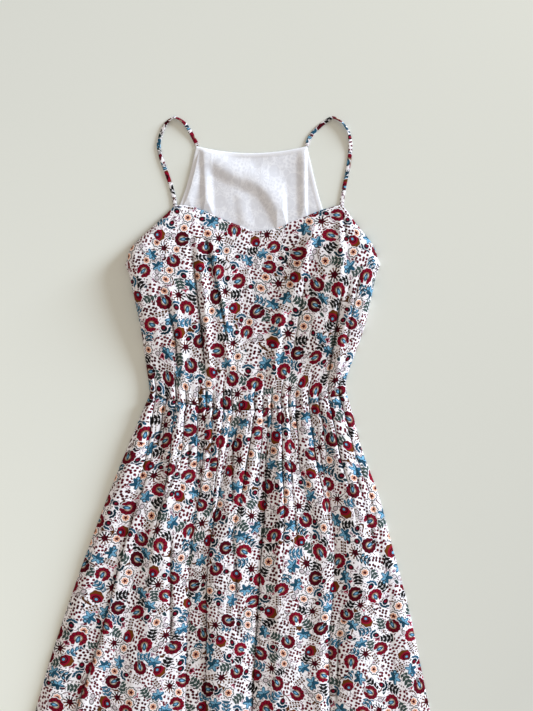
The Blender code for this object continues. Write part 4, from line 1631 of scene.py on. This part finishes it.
def in_parts(parts):
    """Shares from 0 to 1, in parts that each have their own start and count."""
    ends = column(parts, 0)[1:] + [1.0]
    shares = [np.linspace(start, end, count, endpoint=end == 1.0) for (start, count), end in zip(parts, ends)]
    return np.concatenate(shares)


def front_columns(count):
    """Even columns, and closer ones where the sides roll under."""
    columns, close = even_shares(count), np.array(NEAR_SIDE)
    inner = columns[(columns > SIDE_STRIP) & (columns < 1 - SIDE_STRIP)]
    return np.concatenate([close, inner, 1 - close[::-1]])


def closer_at_creases(columns):
    """More columns beside the sharp fold lines and in the slits between gathers."""
    sharp = [line[1] for line, size in zip(FOLD_LINES, FOLD_HEIGHTS) if size[7] > SHARP_LINE]
    fine = even_shares(SLIT_SEARCH)
    slits = np.interp(np.arange(1, GATHERS), gather_phase(fine), fine)
    beside = [place + step for place in sharp for step in NEAR_CREASE]
    inside = [place + step for place in slits for step in NEAR_SLIT]
    return np.unique(np.concatenate([columns, beside, inside]))


def make_skirt_front(material):
    """The gathered front of the skirt."""
    columns = closer_at_creases(front_columns(SKIRT_COLUMNS))
    grid = turned_sides(grid_of(skirt_front_plan, skirt_front_height, columns, in_parts(SKIRT_ROWS)))
    grid = turned_edge(grid, "first", WAIST_TURN, SEAM_UNDERLAP)
    grid = turned_edge(grid, "last", HEM_TURN)
    return cloth_panel("skirt_front_cloth", settled(grid), SHELL, material, True, SKIRT_CUT)


def make_skirt_back(material):
    """The back of the skirt, on the ground."""
    rows = in_parts(SKIRT_ROWS)[::2]
    grid = grid_of(skirt_plan, skirt_back_height, even_shares(SKIRT_BACK_COLUMNS), rows)
    return cloth_panel("skirt_back_cloth", grid, SHELL, material, False, SKIRT_CUT)


def make_bodice_front(material):
    """The front of the bodice, over the bust."""
    columns = front_columns(BODICE_COLUMNS)
    grid = turned_sides(grid_of(front_plan, front_height, columns, in_parts(BODICE_ROWS)))
    grid = turned_edge(grid, "last", EDGE_TURN)
    return cloth_panel("bodice_front_cloth", settled(grid), SHELL, material, True)


def make_bodice_back(material):
    """The back of the bodice, on the ground."""
    columns, rows = (even_shares(count) for count in BODICE_BACK_GRID)
    grid = grid_of(back_plan, back_height, columns, rows)
    return cloth_panel("bodice_back_cloth", grid, SHELL, material, False)


def make_lining(grid, material):
    """The white lining of the back, with its band marked."""
    lining = cloth_panel("lining_cloth", grid, LINING_SHELL, material, True)
    add_attribute(lining, "band", np.clip(BAND_WIDTH - edge_distance(grid[..., 0], grid[..., 1]), 0, 1))
    return lining


def make_bodice_stitches(seams):
    """The rows along the neckline and above the waist seam."""
    neckline = path_on(front_plan, front_height, STITCH_MARGIN, NECK_STITCH_ROW)
    waist = path_on(front_plan, front_height, WAIST_STITCH_MARGIN, WAIST_STITCH_ROW)
    return stitches("bodice_stitches", seams, [neckline, waist])


def make_hem_stitches(seams):
    """The row that holds the hem."""
    along = 1 - HEM_STITCH / SKIRT_DEPTH
    hem = path_on(skirt_front_plan, skirt_front_height, STITCH_MARGIN, along)
    return stitches("hem_stitches", seams, [hem])


def make_dress():
    """Every piece of the dress, and what each stands for."""
    dyes = flower_print("flower_print", PRINT_EDGE)
    ghost = flower_print("print_behind_lining", GHOST_EDGE)
    printed = {}
    for node in ("skirt_back", "skirt_front", "bodice_back", "bodice_front", "strap_left", "strap_right"):
        printed[node] = cloth_material(node + "_print", dyes)

    skirt_front = make_skirt_front(printed["skirt_front"])
    skirt_back = make_skirt_back(printed["skirt_back"])
    bodice_front = make_bodice_front(printed["bodice_front"])
    bodice_back = make_bodice_back(printed["bodice_back"])
    lining_grid = grid_of(lining_plan, lining_height, even_shares(LINING_COLUMNS), in_parts(LINING_ROWS))
    lining = make_lining(lining_grid, lining_material(ghost))
    left = strap("strap_left_tube", LEFT_STRAP, LEFT_STRAP_PRINT, printed["strap_left"])
    right = strap("strap_right_tube", RIGHT_STRAP, RIGHT_STRAP_PRINT, printed["strap_right"])

    seams = stitch_tree(thread_material())
    bodice_stitches = make_bodice_stitches(seams)
    hem_stitches = make_hem_stitches(seams)
    band_stitches = stitches("band_stitches", seams, band_paths(lining_grid))

    dressed = (
        (skirt_front, "skirt_front", "skirt_front_print"),
        (skirt_back, "skirt_back", "skirt_back_print"),
        (bodice_front, "bodice_front", "bodice_front_print"),
        (bodice_back, "bodice_back", "bodice_back_print"),
        (lining, "back_lining", "back_lining_white"),
        (left, "strap_left", "strap_left_print"),
        (right, "strap_right", "strap_right_print"),
    )
    for piece, node, slot in dressed:
        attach(piece, "root")
        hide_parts(node)
    sewn = (
        (bodice_stitches, "bodice_front_print"),
        (hem_stitches, "skirt_front_print"),
        (band_stitches, "back_lining_white"),
    )
    for piece, slot in sewn:
        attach(piece, "root")


make_camera()
make_floor()
make_light()
make_dress()
bpy.context.scene.view_settings.view_transform = "Standard"
